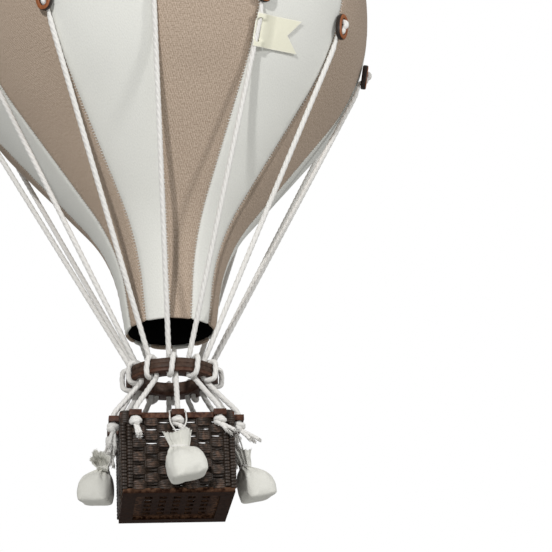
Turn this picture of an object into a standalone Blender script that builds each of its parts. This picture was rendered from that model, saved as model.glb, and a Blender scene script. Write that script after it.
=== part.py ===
"""Hanging hot air balloon decoration: a striped fabric envelope, twelve ropes on wooden toggles,
a wooden load ring and a woven basket with four sandbags.

Metres, +Z up, front at -Y. The origin is the point of the hanging loop that a hook bears on. Heights
in this file are counted from the plane of the envelope's mouth, and an empty at that plane carries
every piece. An angle about the axis is counted from the front towards +X.
"""

from math import acos, asin, atan2, copysign, cos, hypot, pi, radians, sin, tan

import bmesh
import bpy
from mathutils import Matrix, Vector

# Clearance between two pieces that touch
GAP = 0.0003

# Envelope: its outer surface is a neck, a fillet, a cone and a sphere. It hangs a little turned from
# the ring and the basket
GORES = 12
GORE_ANGLE = 2 * pi / GORES
ENVELOPE_TURN = radians(-2.7)
ENVELOPE_RADIUS = 0.1625
SPHERE_HEIGHT = 0.2635
CONE_ANGLE = radians(40)
NECK_ANGLE = radians(8)
NECK_FILLET = 0.120
MOUTH_RADIUS = 0.0334
SHELL = 0.0025
CROWN_OPENING = 0.012
GORE_STRIPS = 3
FILLET_STEPS = 4
SPHERE_STEPS = 13

# Hem turned in at the mouth, crown patch and hanging loop
HEM_HEIGHT = 0.004
HEM_THICKNESS = 0.0012
CROWN_PATCH_RADIUS = 0.022
CROWN_PATCH = 0.0018
LOOP_HEIGHT = 0.455
LOOP_HALF_WIDTH = 0.0065
LOOP_ROPE = 0.0015
LOOP_STEPS = 8
PATCH_STEPS = 3

# Ropes and the oval toggles that hold their upper ends
ROPE = 0.002
TOGGLE_HEIGHT = 0.209
TOGGLE_LENGTH = 0.020
TOGGLE_WIDTH = 0.013
TOGGLE_BAR = 0.0036
TOGGLE_THICKNESS = 0.0045
TOGGLE_LIFT = 0.0018
TOGGLE_TILT = radians(9.5)
TOGGLE_SIDES = 20

# A rope's run: its end in the toggle, from the toggle's middle as (up the seam, outwards, thickness
# factor); its standoff from the seam, which it leaves to run straight to the ring; its hitch, as
# (radius, height, sideways); and the knot and tail below the bracket, as (drop, thickness factor)
TOGGLE_END = (
    (-0.0002, 0.0090, 0.7),
    (-0.0003, 0.0082, 1.2),
    (-0.0006, 0.0064, 1.2),
    (-0.0011, 0.0048, 1.0),
    (-0.0026, 0.0034, 1.0),
    (-0.0046, 0.0020, 0.6),
    (-0.0075, 0.0016, 0.5),
    (-0.0100, 0.0017, 0.5),
)
ROPE_START = 0.0135
ROPE_STANDOFF = ROPE + 0.0005
ROPE_SPHERE_STEPS = 3
HITCH = (
    (0.0285, -0.0272, -0.0022),
    (0.0271, -0.0302, -0.0023),
    (0.0270, -0.0395, -0.0023),
    (0.0284, -0.0421, -0.0020),
    (0.0322, -0.0425, -0.0013),
    (0.0352, -0.0412, -0.0007),
    (0.0360, -0.0380, -0.0003),
    (0.0360, -0.0325, 0.0005),
    (0.0352, -0.0292, 0.0010),
    (0.0322, -0.0280, 0.0016),
    (0.0284, -0.0284, 0.0021),
    (0.0270, -0.0310, 0.0024),
    (0.0270, -0.0400, 0.0024),
    (0.0276, -0.0430, 0.0024),
)
KNOT = (
    (0.0003, 1.0),
    (0.0007, 1.7),
    (0.0022, 2.1),
    (0.0050, 2.1),
    (0.0068, 1.4),
    (0.0078, 0.9),
    (0.0108, 1.0),
)

# Load ring, with a slot for each rope's hitch
RING_OUTER = 0.0335
RING_INNER = 0.0206
RING_TOP = -0.0306
RING_BOTTOM = -0.0400
RING_GROOVES = (0.39, 0.75)
GROOVE_DEPTH = 0.0005
GROOVE_HALF_WIDTH = 0.0004
RING_STEPS = 48
SLOT_RADIUS = 0.0270
SLOT_LENGTH = 0.0093
SLOT_WIDTH = 0.0049

# Basket, which hangs a little turned from the ring
BASKET_TURN = radians(3.5)
BASKET_HALF = 0.040
RIM_TOP = -0.074
RIM_HEIGHT = 0.004
RIM_WIDTH = 0.006
BRACKET_PITCH = 0.0295
BRACKET_WIDTH = 0.0088
BRACKET_PROUD = 0.0076
BRACKET_HOLE = 0.0024
HOLE_FROM_RIM = 0.0044
BASE_HALF = 0.0388
BASE_BOTTOM = -0.132
BASE_THICKNESS = 0.0035
BASE_BORDER = 0.0093
BASE_RECESS = 0.002
FLOOR_HOLES = 5
FLOOR_HOLE = 0.0053
FLOOR_PITCH = 0.010
WEAVE_COLUMNS = 7
WEAVE_ROWS = 10
WEAVE_THICKNESS = 0.0020
WEAVE_BULGE = 0.0009
PILLOW_EDGE = 0.0012
SIDES = ("front", "right", "back", "left")
CORNER_WIDTH = 0.008
CORNER_THICKNESS = 0.0036

# Sandbags, each on a string that hangs over a middle bracket
STRING = 0.0006
PIVOT_OUT = 0.0405
PIVOT_HEIGHT = RIM_TOP + GAP + STRING
BAG_SIDES = 12

# A bag's sections, as (height, out from the axis, half width, half depth, squareness), how each bag
# hangs below its neck, as (lean to the side, turn), and half of its string, as (across, out, height)
BAG_NECK = (0.0508, -0.1030)
BAG_SECTIONS = (
    (-0.1265, 0.0552, 0.0118, 0.0104, 5.0),
    (-0.1195, 0.0552, 0.0132, 0.0114, 3.5),
    (-0.1115, 0.0545, 0.0120, 0.0105, 2.5),
    (-0.1060, 0.0525, 0.0084, 0.0066, 2.0),
    (-0.1030, 0.0508, 0.0060, 0.0036, 2.0),
    (-0.0980, 0.0508, 0.0076, 0.0046, 2.0),
    (-0.0925, 0.0510, 0.0088, 0.0058, 2.0),
)
BAG_HANG = (
    (radians(16), radians(6)),
    (radians(5), radians(15)),
    (radians(-3), radians(-8)),
    (radians(-6), radians(-16)),
)
STRING_LEG = (
    (-0.0016, 0.0500, -0.0922),
    (-0.0056, 0.0470, -0.0830),
    (-0.0056, 0.0445, -0.0765),
    (-0.0056, PIVOT_OUT, PIVOT_HEIGHT),
)

# Tag: a swallowtail pennant behind one rope
TAG_ROPE = 1
TAG_HEIGHT = 0.183
TAG_TURN = radians(3)
TAG_LENGTH = 0.041
TAG_WIDTH = 0.024
TAG_NOTCH = 0.011
TAG_THICKNESS = 0.0006
TAG_MARGIN = 0.0030
TAG_LIFT = 0.0013

# Materials: colour, roughness
FINISHES = {
    "light_fabric": ((0.70, 0.69, 0.65), 0.95),
    "taupe_fabric": ((0.42, 0.33, 0.26), 0.95),
    "rope_cotton": ((0.80, 0.78, 0.73), 0.9),
    "toggle_wood": ((0.40, 0.17, 0.07), 0.5),
    "ring_wood": ((0.09, 0.05, 0.035), 0.5),
    "basket_wood": ((0.11, 0.055, 0.04), 0.55),
    "wicker": ((0.06, 0.045, 0.04), 0.6),
    "bag_cotton": ((0.80, 0.79, 0.73), 0.95),
    "tag_card": ((0.82, 0.78, 0.66), 0.8),
}


def finish(name):
    """The material of a finish, made once."""
    if name in bpy.data.materials:
        return bpy.data.materials[name]
    colour, roughness = FINISHES[name]
    material = bpy.data.materials.new(name)
    material.use_nodes = True
    shader = material.node_tree.nodes["Principled BSDF"]
    shader.inputs["Base Color"].default_value = (*colour, 1.0)
    shader.inputs["Roughness"].default_value = roughness
    material.diffuse_color = (*colour, 1.0)
    return material


def place(name, data, material, parent, matrix=None):
    """Put a mesh or curve in the scene under its parent, with one material."""
    data.materials.append(finish(material))
    piece = bpy.data.objects.new(name, data)
    bpy.context.scene.collection.objects.link(piece)
    piece.parent = parent
    piece.matrix_local = matrix or Matrix()
    return piece


def mesh_from(name, build, smooth_angle=None):
    """A mesh filled by a bmesh function, with its normals outwards."""
    mesh = bpy.data.meshes.new(name)
    work = bmesh.new()
    build(work)
    bmesh.ops.recalc_face_normals(work, faces=work.faces)
    work.to_mesh(mesh)
    work.free()
    if smooth_angle is not None:
        mesh.shade_smooth()
        mesh.set_sharp_from_angle(angle=smooth_angle)
    return mesh


def around(angle, radial, height, side=0.0):
    """A point at an angle about the axis, moved sideways along the tangent."""
    across = Vector((cos(angle), sin(angle), 0.0))
    outward = Vector((sin(angle), -cos(angle), 0.0))
    return outward * radial + across * side + Vector((0.0, 0.0, height))


def oval(half_width, half_length, power, count):
    """Points (x, y) round an oval, boxier for a higher power."""
    points = []
    for step in range(count):
        angle = 2 * pi * (step + 0.5) / count
        across, along = cos(angle), sin(angle)
        points.append((
            copysign(abs(across) ** (2 / power), across) * half_width,
            copysign(abs(along) ** (2 / power), along) * half_length,
        ))
    return points


def add_cylinder(work, centre, radius, height, sides):
    """An upright cylinder with closed ends."""
    bmesh.ops.create_cone(
        work, cap_ends=True, segments=sides, radius1=radius, radius2=radius, depth=height,
        matrix=Matrix.Translation(centre),
    )


def add_box(work, low, high, turn=0.0):
    """A box between two corners, turned round the axis."""
    low, high = Vector(low), Vector(high)
    box = Matrix.Translation((low + high) / 2) @ Matrix.Diagonal((*(high - low), 1.0))
    bmesh.ops.create_cube(work, size=1.0, matrix=Matrix.Rotation(turn, 4, "Z") @ box)


def add_prism(work, outline, low, high):
    """A straight prism on an outline of (x, y) points."""
    bottom = [work.verts.new((x, y, low)) for x, y in outline]
    top = [work.verts.new((x, y, high)) for x, y in outline]
    work.faces.new(reversed(bottom))
    work.faces.new(top)
    for index, start in enumerate(bottom):
        after = (index + 1) % len(bottom)
        work.faces.new((start, bottom[after], top[after], top[index]))


def add_block(work, outer, inner):
    """A closed solid between two grids of points, given as equal lists of rows."""
    rows, columns = len(outer), len(outer[0])
    front = [[work.verts.new(point) for point in row] for row in outer]
    back = [[work.verts.new(point) for point in row] for row in inner]
    for r in range(rows - 1):
        for c in range(columns - 1):
            work.faces.new((front[r][c], front[r][c + 1], front[r + 1][c + 1], front[r + 1][c]))
            work.faces.new((back[r][c], back[r + 1][c], back[r + 1][c + 1], back[r][c + 1]))
    for r in range(rows - 1):
        for c in (0, columns - 1):
            work.faces.new((front[r][c], front[r + 1][c], back[r + 1][c], back[r][c]))
    for c in range(columns - 1):
        for r in (0, rows - 1):
            work.faces.new((front[r][c], front[r][c + 1], back[r][c + 1], back[r][c]))


def add_ring(work, sections):
    """A closed ring through sections, each a closed loop of as many points."""
    loops = [[work.verts.new(point) for point in section] for section in sections]
    for step, loop in enumerate(loops):
        following = loops[(step + 1) % len(loops)]
        for index in range(len(loop)):
            after = (index + 1) % len(loop)
            work.faces.new((loop[index], loop[after], following[after], following[index]))


def add_turned(work, profile, steps):
    """A closed (radius, height) profile turned round the axis, which it may touch."""
    angles = [2 * pi * step / steps for step in range(steps)]
    add_ring(work, [[around(angle, *point) for point in profile] for angle in angles])
    bmesh.ops.remove_doubles(work, verts=work.verts, dist=1e-6)


def cut(piece, name, build):
    """Cut a piece with a helper mesh that no render shows."""
    helper = place(name, mesh_from(name, build), "basket_wood", piece.parent, piece.matrix_local)
    helper.hide_render = True
    helper.display_type = "WIRE"
    difference = piece.modifiers.new("cut", "BOOLEAN")
    difference.operation = "DIFFERENCE"
    difference.object = helper


def tube(name, points, radius, material, parent, resolution=1):
    """A tube with closed ends through (point, thickness factor) pairs."""
    curve = bpy.data.curves.new(name, "CURVE")
    curve.dimensions = "3D"
    curve.bevel_depth = radius
    curve.bevel_resolution = resolution
    curve.use_fill_caps = True
    spline = curve.splines.new("POLY")
    spline.points.add(len(points) - 1)
    for target, (point, factor) in zip(spline.points, points):
        target.co = (*point, 1.0)
        target.radius = factor
    return place(name, curve, material, parent)


def seam_angle(index):
    """Where a seam of the turned envelope lies, or with a half, the middle of a gore."""
    return index * GORE_ANGLE + ENVELOPE_TURN


def normal(angle):
    """The envelope's outward direction, as (radial, up), where it leans by an angle from upright."""
    return cos(angle), -sin(angle)


def fillet_centre():
    """Where the neck's fillet is centred, outside the neck, as (radius, height)."""
    touch = (ENVELOPE_RADIUS * cos(CONE_ANGLE), SPHERE_HEIGHT - ENVELOPE_RADIUS * sin(CONE_ANGLE))
    cone_at_mouth = touch[0] - touch[1] * tan(CONE_ANGLE)
    height = (MOUTH_RADIUS - cone_at_mouth) / (tan(CONE_ANGLE) - tan(NECK_ANGLE))
    radius = MOUTH_RADIUS + height * tan(NECK_ANGLE)
    run = NECK_FILLET * tan((CONE_ANGLE - NECK_ANGLE) / 2)
    out, up = normal(NECK_ANGLE)
    return (
        radius - run * sin(NECK_ANGLE) + NECK_FILLET * out,
        height - run * cos(NECK_ANGLE) + NECK_FILLET * up,
    )


def meridian(offset, top_angle, sphere_steps):
    """Points (radius, height) from the mouth up to an angle on the sphere, offset outwards."""
    out, up = normal(NECK_ANGLE)
    points = [(MOUTH_RADIUS + offset * out, 0.0)]
    centre = fillet_centre()
    for step in range(FILLET_STEPS + 1):
        angle = NECK_ANGLE + (CONE_ANGLE - NECK_ANGLE) * step / FILLET_STEPS
        out, up = normal(angle)
        reach = NECK_FILLET - offset
        points.append((centre[0] - reach * out, centre[1] - reach * up))
    for step in range(sphere_steps + 1):
        angle = -CONE_ANGLE + (top_angle + CONE_ANGLE) * step / sphere_steps
        reach = ENVELOPE_RADIUS + offset
        points.append((reach * cos(angle), SPHERE_HEIGHT + reach * sin(angle)))
    return points


def envelope(parent):
    """Twelve curved gores, sewn edge to edge, with the two colours in turn."""
    top = acos(CROWN_OPENING / ENVELOPE_RADIUS)
    outer = meridian(0.0, top, SPHERE_STEPS)
    inner = meridian(-SHELL, top, SPHERE_STEPS)

    def gore(work):
        grids = []
        for points in (outer, inner):
            rows = []
            for radius, height in points:
                half = GORE_ANGLE / 2 - GAP / 2 / radius
                angles = [half * (2 * strip / GORE_STRIPS - 1) for strip in range(GORE_STRIPS + 1)]
                rows.append([around(angle, radius, height) for angle in angles])
            grids.append(rows)
        add_block(work, *grids)

    for index in range(GORES):
        colour = "light_fabric" if index % 2 else "taupe_fabric"
        mesh = mesh_from(f"gore_{index + 1:02d}", gore, radians(40))
        turn = Matrix.Rotation(seam_angle(index + 0.5), 4, "Z")
        place(mesh.name, mesh, colour, parent, turn)


def mouth_hem(parent):
    """The band of fabric turned in at the mouth."""
    outside = MOUTH_RADIUS - (SHELL + GAP) / cos(NECK_ANGLE) - GAP
    inside = outside - HEM_THICKNESS
    profile = [(inside, 0.0), (outside, 0.0), (outside, HEM_HEIGHT), (inside, HEM_HEIGHT)]
    mesh = mesh_from("mouth_hem", lambda work: add_turned(work, profile, 24), radians(40))
    place("mouth_hem", mesh, "light_fabric", parent)


def crown(parent):
    """A round patch over the gores' meeting point, and the loop of cord that the balloon hangs on."""
    edge = acos(CROWN_PATCH_RADIUS / ENVELOPE_RADIUS)
    angles = [edge + (pi / 2 - edge) * step / PATCH_STEPS for step in range(PATCH_STEPS + 1)]
    below = ENVELOPE_RADIUS + GAP
    above = below + CROWN_PATCH
    profile = [(below * cos(a), SPHERE_HEIGHT + below * sin(a)) for a in angles]
    profile += [(above * cos(a), SPHERE_HEIGHT + above * sin(a)) for a in reversed(angles)]
    mesh = mesh_from("crown_patch", lambda work: add_turned(work, profile, 24), radians(40))
    place(mesh.name, mesh, "light_fabric", parent)

    foot = SPHERE_HEIGHT + above + GAP
    centre = LOOP_HEIGHT + LOOP_ROPE - LOOP_HALF_WIDTH
    points = [Vector((-LOOP_HALF_WIDTH, 0.0, foot))]
    for step in range(LOOP_STEPS + 1):
        angle = pi * (1 - step / LOOP_STEPS)
        points.append(Vector((cos(angle), 0.0, sin(angle))) * LOOP_HALF_WIDTH + Vector((0.0, 0.0, centre)))
    points.append(Vector((LOOP_HALF_WIDTH, 0.0, foot)))
    tube("hanging_loop", [(point, 1.0) for point in points], LOOP_ROPE, "rope_cotton", parent)


def surface_frame(angle, height):
    """The frame on the sphere at a height: X along the hoop, Y up the meridian, Z outwards."""
    lean = asin((height - SPHERE_HEIGHT) / ENVELOPE_RADIUS)
    origin = around(angle, ENVELOPE_RADIUS * cos(lean), height)
    across = around(angle, 0.0, 0.0, 1.0)
    outward = around(angle, cos(lean), sin(lean))
    frame = Matrix((across, outward.cross(across), outward)).transposed().to_4x4()
    frame.translation = origin
    return frame


def toggles(parent):
    """Twelve oval wooden rings on the seams, each lifted by the rope that runs up beneath it."""
    outer = oval(TOGGLE_WIDTH / 2, TOGGLE_LENGTH / 2, 2.3, TOGGLE_SIDES)
    inner = oval(TOGGLE_WIDTH / 2 - TOGGLE_BAR, TOGGLE_LENGTH / 2 - TOGGLE_BAR, 2.3, TOGGLE_SIDES)

    def ring(work):
        sections = []
        for far, near in zip(outer, inner):
            sections.append([
                Vector((*far, 0.0)),
                Vector((*far, TOGGLE_THICKNESS)),
                Vector((*near, TOGGLE_THICKNESS)),
                Vector((*near, 0.0)),
            ])
        add_ring(work, sections)

    tilt = Matrix.Translation((0.0, 0.0, TOGGLE_LIFT)) @ Matrix.Rotation(-TOGGLE_TILT, 4, "X")
    for index in range(GORES):
        mesh = mesh_from(f"toggle_{index + 1:02d}", ring, radians(40))
        place(mesh.name, mesh, "toggle_wood", parent, surface_frame(seam_angle(index), TOGGLE_HEIGHT) @ tilt)


def side_angle(side):
    """Where a side of the basket faces: it hangs a little turned from the load ring."""
    return side * pi / 2 + BASKET_TURN


def bracket_point(index, height):
    """The axis of a rope's hole in its bracket: three brackets to each side of the basket."""
    side = round(index / 3)
    return around(side_angle(side), BASKET_HALF + HOLE_FROM_RIM, height, (index - 3 * side) * BRACKET_PITCH)


def leaving_angle(reach):
    """Where on a sphere of this reach a taut rope from the load ring touches it, as an angle of lean."""
    radius, height, _ = HITCH[0]
    drop = SPHERE_HEIGHT - height
    return acos(reach / hypot(radius, drop)) - atan2(drop, radius)


def rope_path(index):
    """One rope from its end in the toggle to its tail below the bracket, as (point, factor) pairs."""
    angle = seam_angle(index)
    frame = surface_frame(angle, TOGGLE_HEIGHT)
    path = [(frame @ Vector((0.0, along, out)), factor) for along, out, factor in TOGGLE_END]

    start = asin((TOGGLE_HEIGHT - SPHERE_HEIGHT) / ENVELOPE_RADIUS) - ROPE_START / ENVELOPE_RADIUS
    reach = ENVELOPE_RADIUS + ROPE_STANDOFF
    path.append((around(angle, reach * cos(start), SPHERE_HEIGHT + reach * sin(start)), 1.0))
    if index == TAG_ROPE:
        reach += TAG_LIFT
    leave = leaving_angle(reach)
    for step in range(1, ROPE_SPHERE_STEPS + 1):
        lean = start + (leave - start) * step / ROPE_SPHERE_STEPS
        path.append((around(angle, reach * cos(lean), SPHERE_HEIGHT + reach * sin(lean)), 1.0))
    path += [(around(index * GORE_ANGLE, *point), 1.0) for point in HITCH]

    path.append((bracket_point(index, RIM_TOP + ROPE), 1.0))
    path += [(bracket_point(index, RIM_TOP - RIM_HEIGHT - drop), factor) for drop, factor in KNOT]
    return path


def ropes(parent):
    """Twelve ropes, each hitched once round the outer part of the load ring on its way down."""
    for index in range(GORES):
        tube(f"rope_{index + 1:02d}", rope_path(index), ROPE, "rope_cotton", parent)


def load_ring(parent):
    """The flat wooden ring, in three layers, with a slot for each hitch."""
    height = RING_TOP - RING_BOTTOM
    profile = [(RING_INNER, RING_BOTTOM), (RING_INNER, RING_TOP), (RING_OUTER, RING_TOP)]
    for share in RING_GROOVES:
        level = RING_TOP - share * height
        profile.append((RING_OUTER, level + GROOVE_HALF_WIDTH))
        profile.append((RING_OUTER - GROOVE_DEPTH, level))
        profile.append((RING_OUTER, level - GROOVE_HALF_WIDTH))
    profile.append((RING_OUTER, RING_BOTTOM))
    mesh = mesh_from("load_ring", lambda work: add_turned(work, profile, RING_STEPS), radians(30))
    ring = place(mesh.name, mesh, "ring_wood", parent)

    def slots(work):
        for index in range(GORES):
            low = (-SLOT_LENGTH / 2, -SLOT_RADIUS - SLOT_WIDTH / 2, RING_BOTTOM - 0.002)
            high = (SLOT_LENGTH / 2, -SLOT_RADIUS + SLOT_WIDTH / 2, RING_TOP + 0.002)
            add_box(work, low, high, index * GORE_ANGLE)

    cut(ring, "ring_slots", slots)


def basket_rim(parent):
    """The square top bar with three drilled brackets on each side."""
    outline = []
    for side in range(4):
        for slot in (-1, 0, 1):
            for reach, edge in ((0.0, -1), (BRACKET_PROUD, -1), (BRACKET_PROUD, 1), (0.0, 1)):
                across = slot * BRACKET_PITCH + edge * BRACKET_WIDTH / 2
                outline.append(around(side_angle(side), BASKET_HALF + reach, 0.0, across).xy)
        outline.append(around(side_angle(side), BASKET_HALF, 0.0, BASKET_HALF).xy)
    low, high = RIM_TOP - RIM_HEIGHT, RIM_TOP
    mesh = mesh_from("basket_rim", lambda work: add_prism(work, outline, low, high))
    rim = place(mesh.name, mesh, "basket_wood", parent)

    def inside(work):
        half = BASKET_HALF - RIM_WIDTH
        add_box(work, (-half, -half, low - 0.002), (half, half, high + 0.002), BASKET_TURN)
        for index in range(GORES):
            add_cylinder(work, bracket_point(index, (low + high) / 2), BRACKET_HOLE, 3 * RIM_HEIGHT, 10)

    cut(rim, "rim_cuts", inside)


def basket_base(parent):
    """The base: a flat border round a recessed panel with square holes."""
    bottom, top = BASE_BOTTOM, BASE_BOTTOM + BASE_THICKNESS
    half = BASE_HALF

    def board(work):
        add_box(work, (-half, -half, bottom), (half, half, top), BASKET_TURN)

    def recess(work):
        reach = half - BASE_BORDER
        add_box(work, (-reach, -reach, bottom - 0.002), (reach, reach, bottom + BASE_RECESS), BASKET_TURN)

    def holes(work):
        middle = (FLOOR_HOLES - 1) / 2
        for row in range(FLOOR_HOLES):
            for column in range(FLOOR_HOLES):
                x, y = (column - middle) * FLOOR_PITCH, (row - middle) * FLOOR_PITCH
                reach = FLOOR_HOLE / 2
                low, high = (x - reach, y - reach, bottom), (x + reach, y + reach, top + 0.002)
                add_box(work, low, high, BASKET_TURN)

    base = place("basket_base", mesh_from("basket_base", board), "basket_wood", parent)
    cut(base, "base_recess", recess)
    cut(base, "floor_holes", holes)


def basket_walls(parent):
    """Four woven panels, each a thin board with pillows in a chequer on both faces, and the corners."""
    low = BASE_BOTTOM + BASE_THICKNESS + GAP
    high = RIM_TOP - RIM_HEIGHT - GAP
    half = BASKET_HALF - CORNER_WIDTH - GAP
    outside = BASKET_HALF - GAP - WEAVE_BULGE

    def grid(reach):
        rows = []
        for row in range(WEAVE_ROWS + 1):
            height = low + (high - low) * row / WEAVE_ROWS
            columns = range(WEAVE_COLUMNS + 1)
            rows.append([Vector((half * (2 * c / WEAVE_COLUMNS - 1), -reach, height)) for c in columns])
        return rows

    def panel(work):
        add_block(work, grid(outside), grid(outside - WEAVE_THICKNESS))
        bmesh.ops.recalc_face_normals(work, faces=work.faces)
        pillows = []
        for face in work.faces:
            centre = face.calc_center_median()
            column = int((centre.x + half) / (2 * half) * WEAVE_COLUMNS)
            row = int((centre.z - low) / (high - low) * WEAVE_ROWS)
            if abs(face.normal.y) > 0.9 and (column + row) % 2 == (face.normal.y > 0):
                pillows.append(face)
        bmesh.ops.inset_individual(work, faces=pillows, thickness=PILLOW_EDGE, depth=WEAVE_BULGE)

    def corner(work):
        far, near = BASKET_HALF - GAP, BASKET_HALF - GAP - CORNER_THICKNESS
        start = BASKET_HALF - CORNER_WIDTH
        outline = ((start, -far), (far, -far), (far, -start), (near, -start), (near, -near), (start, -near))
        add_prism(work, outline, low, high)

    for side, name in enumerate(SIDES):
        turn = Matrix.Rotation(side_angle(side), 4, "Z")
        place(f"wall_{name}", mesh_from(f"wall_{name}", panel), "wicker", parent, turn)
        place(f"corner_{side + 1}", mesh_from(f"corner_{side + 1}", corner), "wicker", parent, turn)


def sandbags(parent):
    """Four bags on strings, each hanging from an empty at its string's bearing on the bracket."""
    neck = Vector((0.0, PIVOT_OUT - BAG_NECK[0], BAG_NECK[1] - PIVOT_HEIGHT))

    def bag(work, lean, turn):
        sections = []
        for height, out, half_width, half_depth, power in BAG_SECTIONS:
            below = height < BAG_NECK[1]
            swivel = Matrix.Rotation(turn if below else 0.0, 3, "Z")
            askew = Matrix.Rotation(-lean if below else 0.0, 3, "Y")
            centre = Vector((0.0, PIVOT_OUT - out, height - PIVOT_HEIGHT)) - neck
            outline = oval(half_width, half_depth, power, BAG_SIDES)
            spots = [neck + askew @ (centre + swivel @ Vector((x, y, 0.0))) for x, y in outline]
            sections.append([work.verts.new(spot) for spot in spots])
        work.faces.new(sections[0])
        work.faces.new(sections[-1])
        for lower, upper in zip(sections, sections[1:]):
            for index in range(BAG_SIDES):
                after = (index + 1) % BAG_SIDES
                work.faces.new((lower[index], lower[after], upper[after], upper[index]))

    leg = [Vector((across, PIVOT_OUT - out, height - PIVOT_HEIGHT)) for across, out, height in STRING_LEG]
    other = [Vector((-point.x, point.y, point.z)) for point in reversed(leg)]
    for side, name in enumerate(SIDES):
        pivot = bpy.data.objects.new(f"bag_pivot_{name}", None)
        bpy.context.scene.collection.objects.link(pivot)
        pivot.parent = parent
        pivot.location = around(side_angle(side), PIVOT_OUT, PIVOT_HEIGHT)
        pivot.rotation_euler.z = side_angle(side)
        mesh = mesh_from(f"sandbag_{name}", lambda work: bag(work, *BAG_HANG[side]), radians(50))
        place(mesh.name, mesh, "bag_cotton", pivot)
        tube(f"bag_string_{name}", [(point, 1.0) for point in leg + other], STRING, "rope_cotton", pivot)


def tag(parent):
    """The swallowtail pennant, flat behind the rope that holds it."""
    left, right = -TAG_MARGIN, TAG_LENGTH - TAG_MARGIN
    half = TAG_WIDTH / 2
    outline = ((left, -half), (right, -half), (right - TAG_NOTCH, 0.0), (right, half), (left, half))
    mesh = mesh_from("tag", lambda work: add_prism(work, outline, GAP, GAP + TAG_THICKNESS))
    hung = surface_frame(seam_angle(TAG_ROPE), TAG_HEIGHT) @ Matrix.Rotation(TAG_TURN, 4, "Z")
    place("tag", mesh, "tag_card", parent, hung)


def build():
    for old in list(bpy.data.objects):
        bpy.data.objects.remove(old)
    mouth = bpy.data.objects.new("mouth_plane", None)
    bpy.context.scene.collection.objects.link(mouth)
    mouth.location.z = -LOOP_HEIGHT
    for piece in (
        envelope, mouth_hem, crown, toggles, ropes, load_ring,
        basket_rim, basket_base, basket_walls, sandbags, tag,
    ):
        piece(mouth)


build()
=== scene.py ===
"""Looks of a hanging hot air balloon decoration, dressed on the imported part.

Metres, +Z up, front at -Y. The origin is where a hook bears on the hanging loop. An angle about the
axis is counted from the front towards +X, and a height from the plane of the envelope's mouth.
"""

import random
from math import acos, asin, atan2, ceil, cos, exp, hypot, pi, radians, sin, tan

import bmesh
import bpy
import numpy as np
from mathutils import Matrix, Vector, noise


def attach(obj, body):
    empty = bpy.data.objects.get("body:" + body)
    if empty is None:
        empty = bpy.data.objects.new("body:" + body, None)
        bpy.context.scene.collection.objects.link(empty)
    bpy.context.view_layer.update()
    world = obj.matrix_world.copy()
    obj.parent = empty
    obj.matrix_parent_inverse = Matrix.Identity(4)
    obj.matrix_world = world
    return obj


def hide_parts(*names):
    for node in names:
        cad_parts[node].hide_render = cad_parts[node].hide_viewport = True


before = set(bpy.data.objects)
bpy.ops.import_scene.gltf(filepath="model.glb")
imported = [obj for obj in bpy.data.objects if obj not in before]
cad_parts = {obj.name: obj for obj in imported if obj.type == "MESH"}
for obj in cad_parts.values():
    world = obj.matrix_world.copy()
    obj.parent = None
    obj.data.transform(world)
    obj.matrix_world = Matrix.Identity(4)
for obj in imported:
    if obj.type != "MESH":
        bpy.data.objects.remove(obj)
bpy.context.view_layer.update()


# Camera
# A camera with a long lens that stands on the floor in front of the balloon and looks up at it, as the
# photographer did, a little from the left and held not quite level.
CAMERA_PLACE = (-0.0176, -1.2639, -0.9419)
SENSOR_WIDTH = 36.0
LENS = 119.8

yaw, pitch, roll = radians(4.41), radians(22.74), radians(-3.04)
ahead = Vector((sin(yaw) * cos(pitch), cos(yaw) * cos(pitch), sin(pitch)))
level = Vector((cos(yaw), -sin(yaw), 0.0))
upright = level.cross(ahead)
camera = bpy.data.objects.new("camera", bpy.data.cameras.new("camera"))
camera.data.sensor_width = SENSOR_WIDTH
camera.data.lens = LENS
camera.matrix_world = Matrix((
    cos(roll) * level + sin(roll) * upright,
    cos(roll) * upright - sin(roll) * level,
    -ahead,
)).transposed().to_4x4()
camera.matrix_world.translation = CAMERA_PLACE
bpy.context.scene.collection.objects.link(camera)
bpy.context.scene.camera = camera


# Studio
# A plain pale floor in a white room, brightest behind the balloon and above it, with a soft lamp to the
# camera's left and a weaker one to its right, so that the ropes shade the envelope from each side.
FLOOR_HEIGHT = -0.95
FLOOR_HALF = 6
SQUARE = ((-1, -1), (1, -1), (1, 1), (-1, 1))
GLOW_BEHIND = 0.40
GLOW_ABOVE = 0.40
GLOW_AROUND = 0.08
LAMP_AIM = (0.0, 0.0, -0.30)
LAMPS = (
    ("lamp_left", (-0.60, -2.13, -0.10), 0.10, 25.0),
    ("lamp_right", (1.66, -1.44, -0.05), 0.20, 15.0),
)


class Wire:
    """An output of a node, on which sums add Math nodes to its tree."""

    def __init__(self, graph, socket):
        self.graph = graph
        self.socket = socket

    def math(self, operation, *others, **settings):
        return self.graph.node("ShaderNodeMath", {"operation": operation, **settings}, self, *others)

    def output(self, name):
        return Wire(self.graph, self.socket.node.outputs[name])

    def __add__(self, other):
        return self.math("ADD", other)

    def __sub__(self, other):
        return self.math("SUBTRACT", other)

    def __mul__(self, other):
        return self.math("MULTIPLY", other)

    def __truediv__(self, other):
        return self.math("DIVIDE", other)

    def __pow__(self, other):
        return self.math("POWER", other)

    def __rsub__(self, other):
        return self.graph.node("ShaderNodeMath", {"operation": "SUBTRACT"}, other, self)

    __radd__ = __add__
    __rmul__ = __mul__


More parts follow.
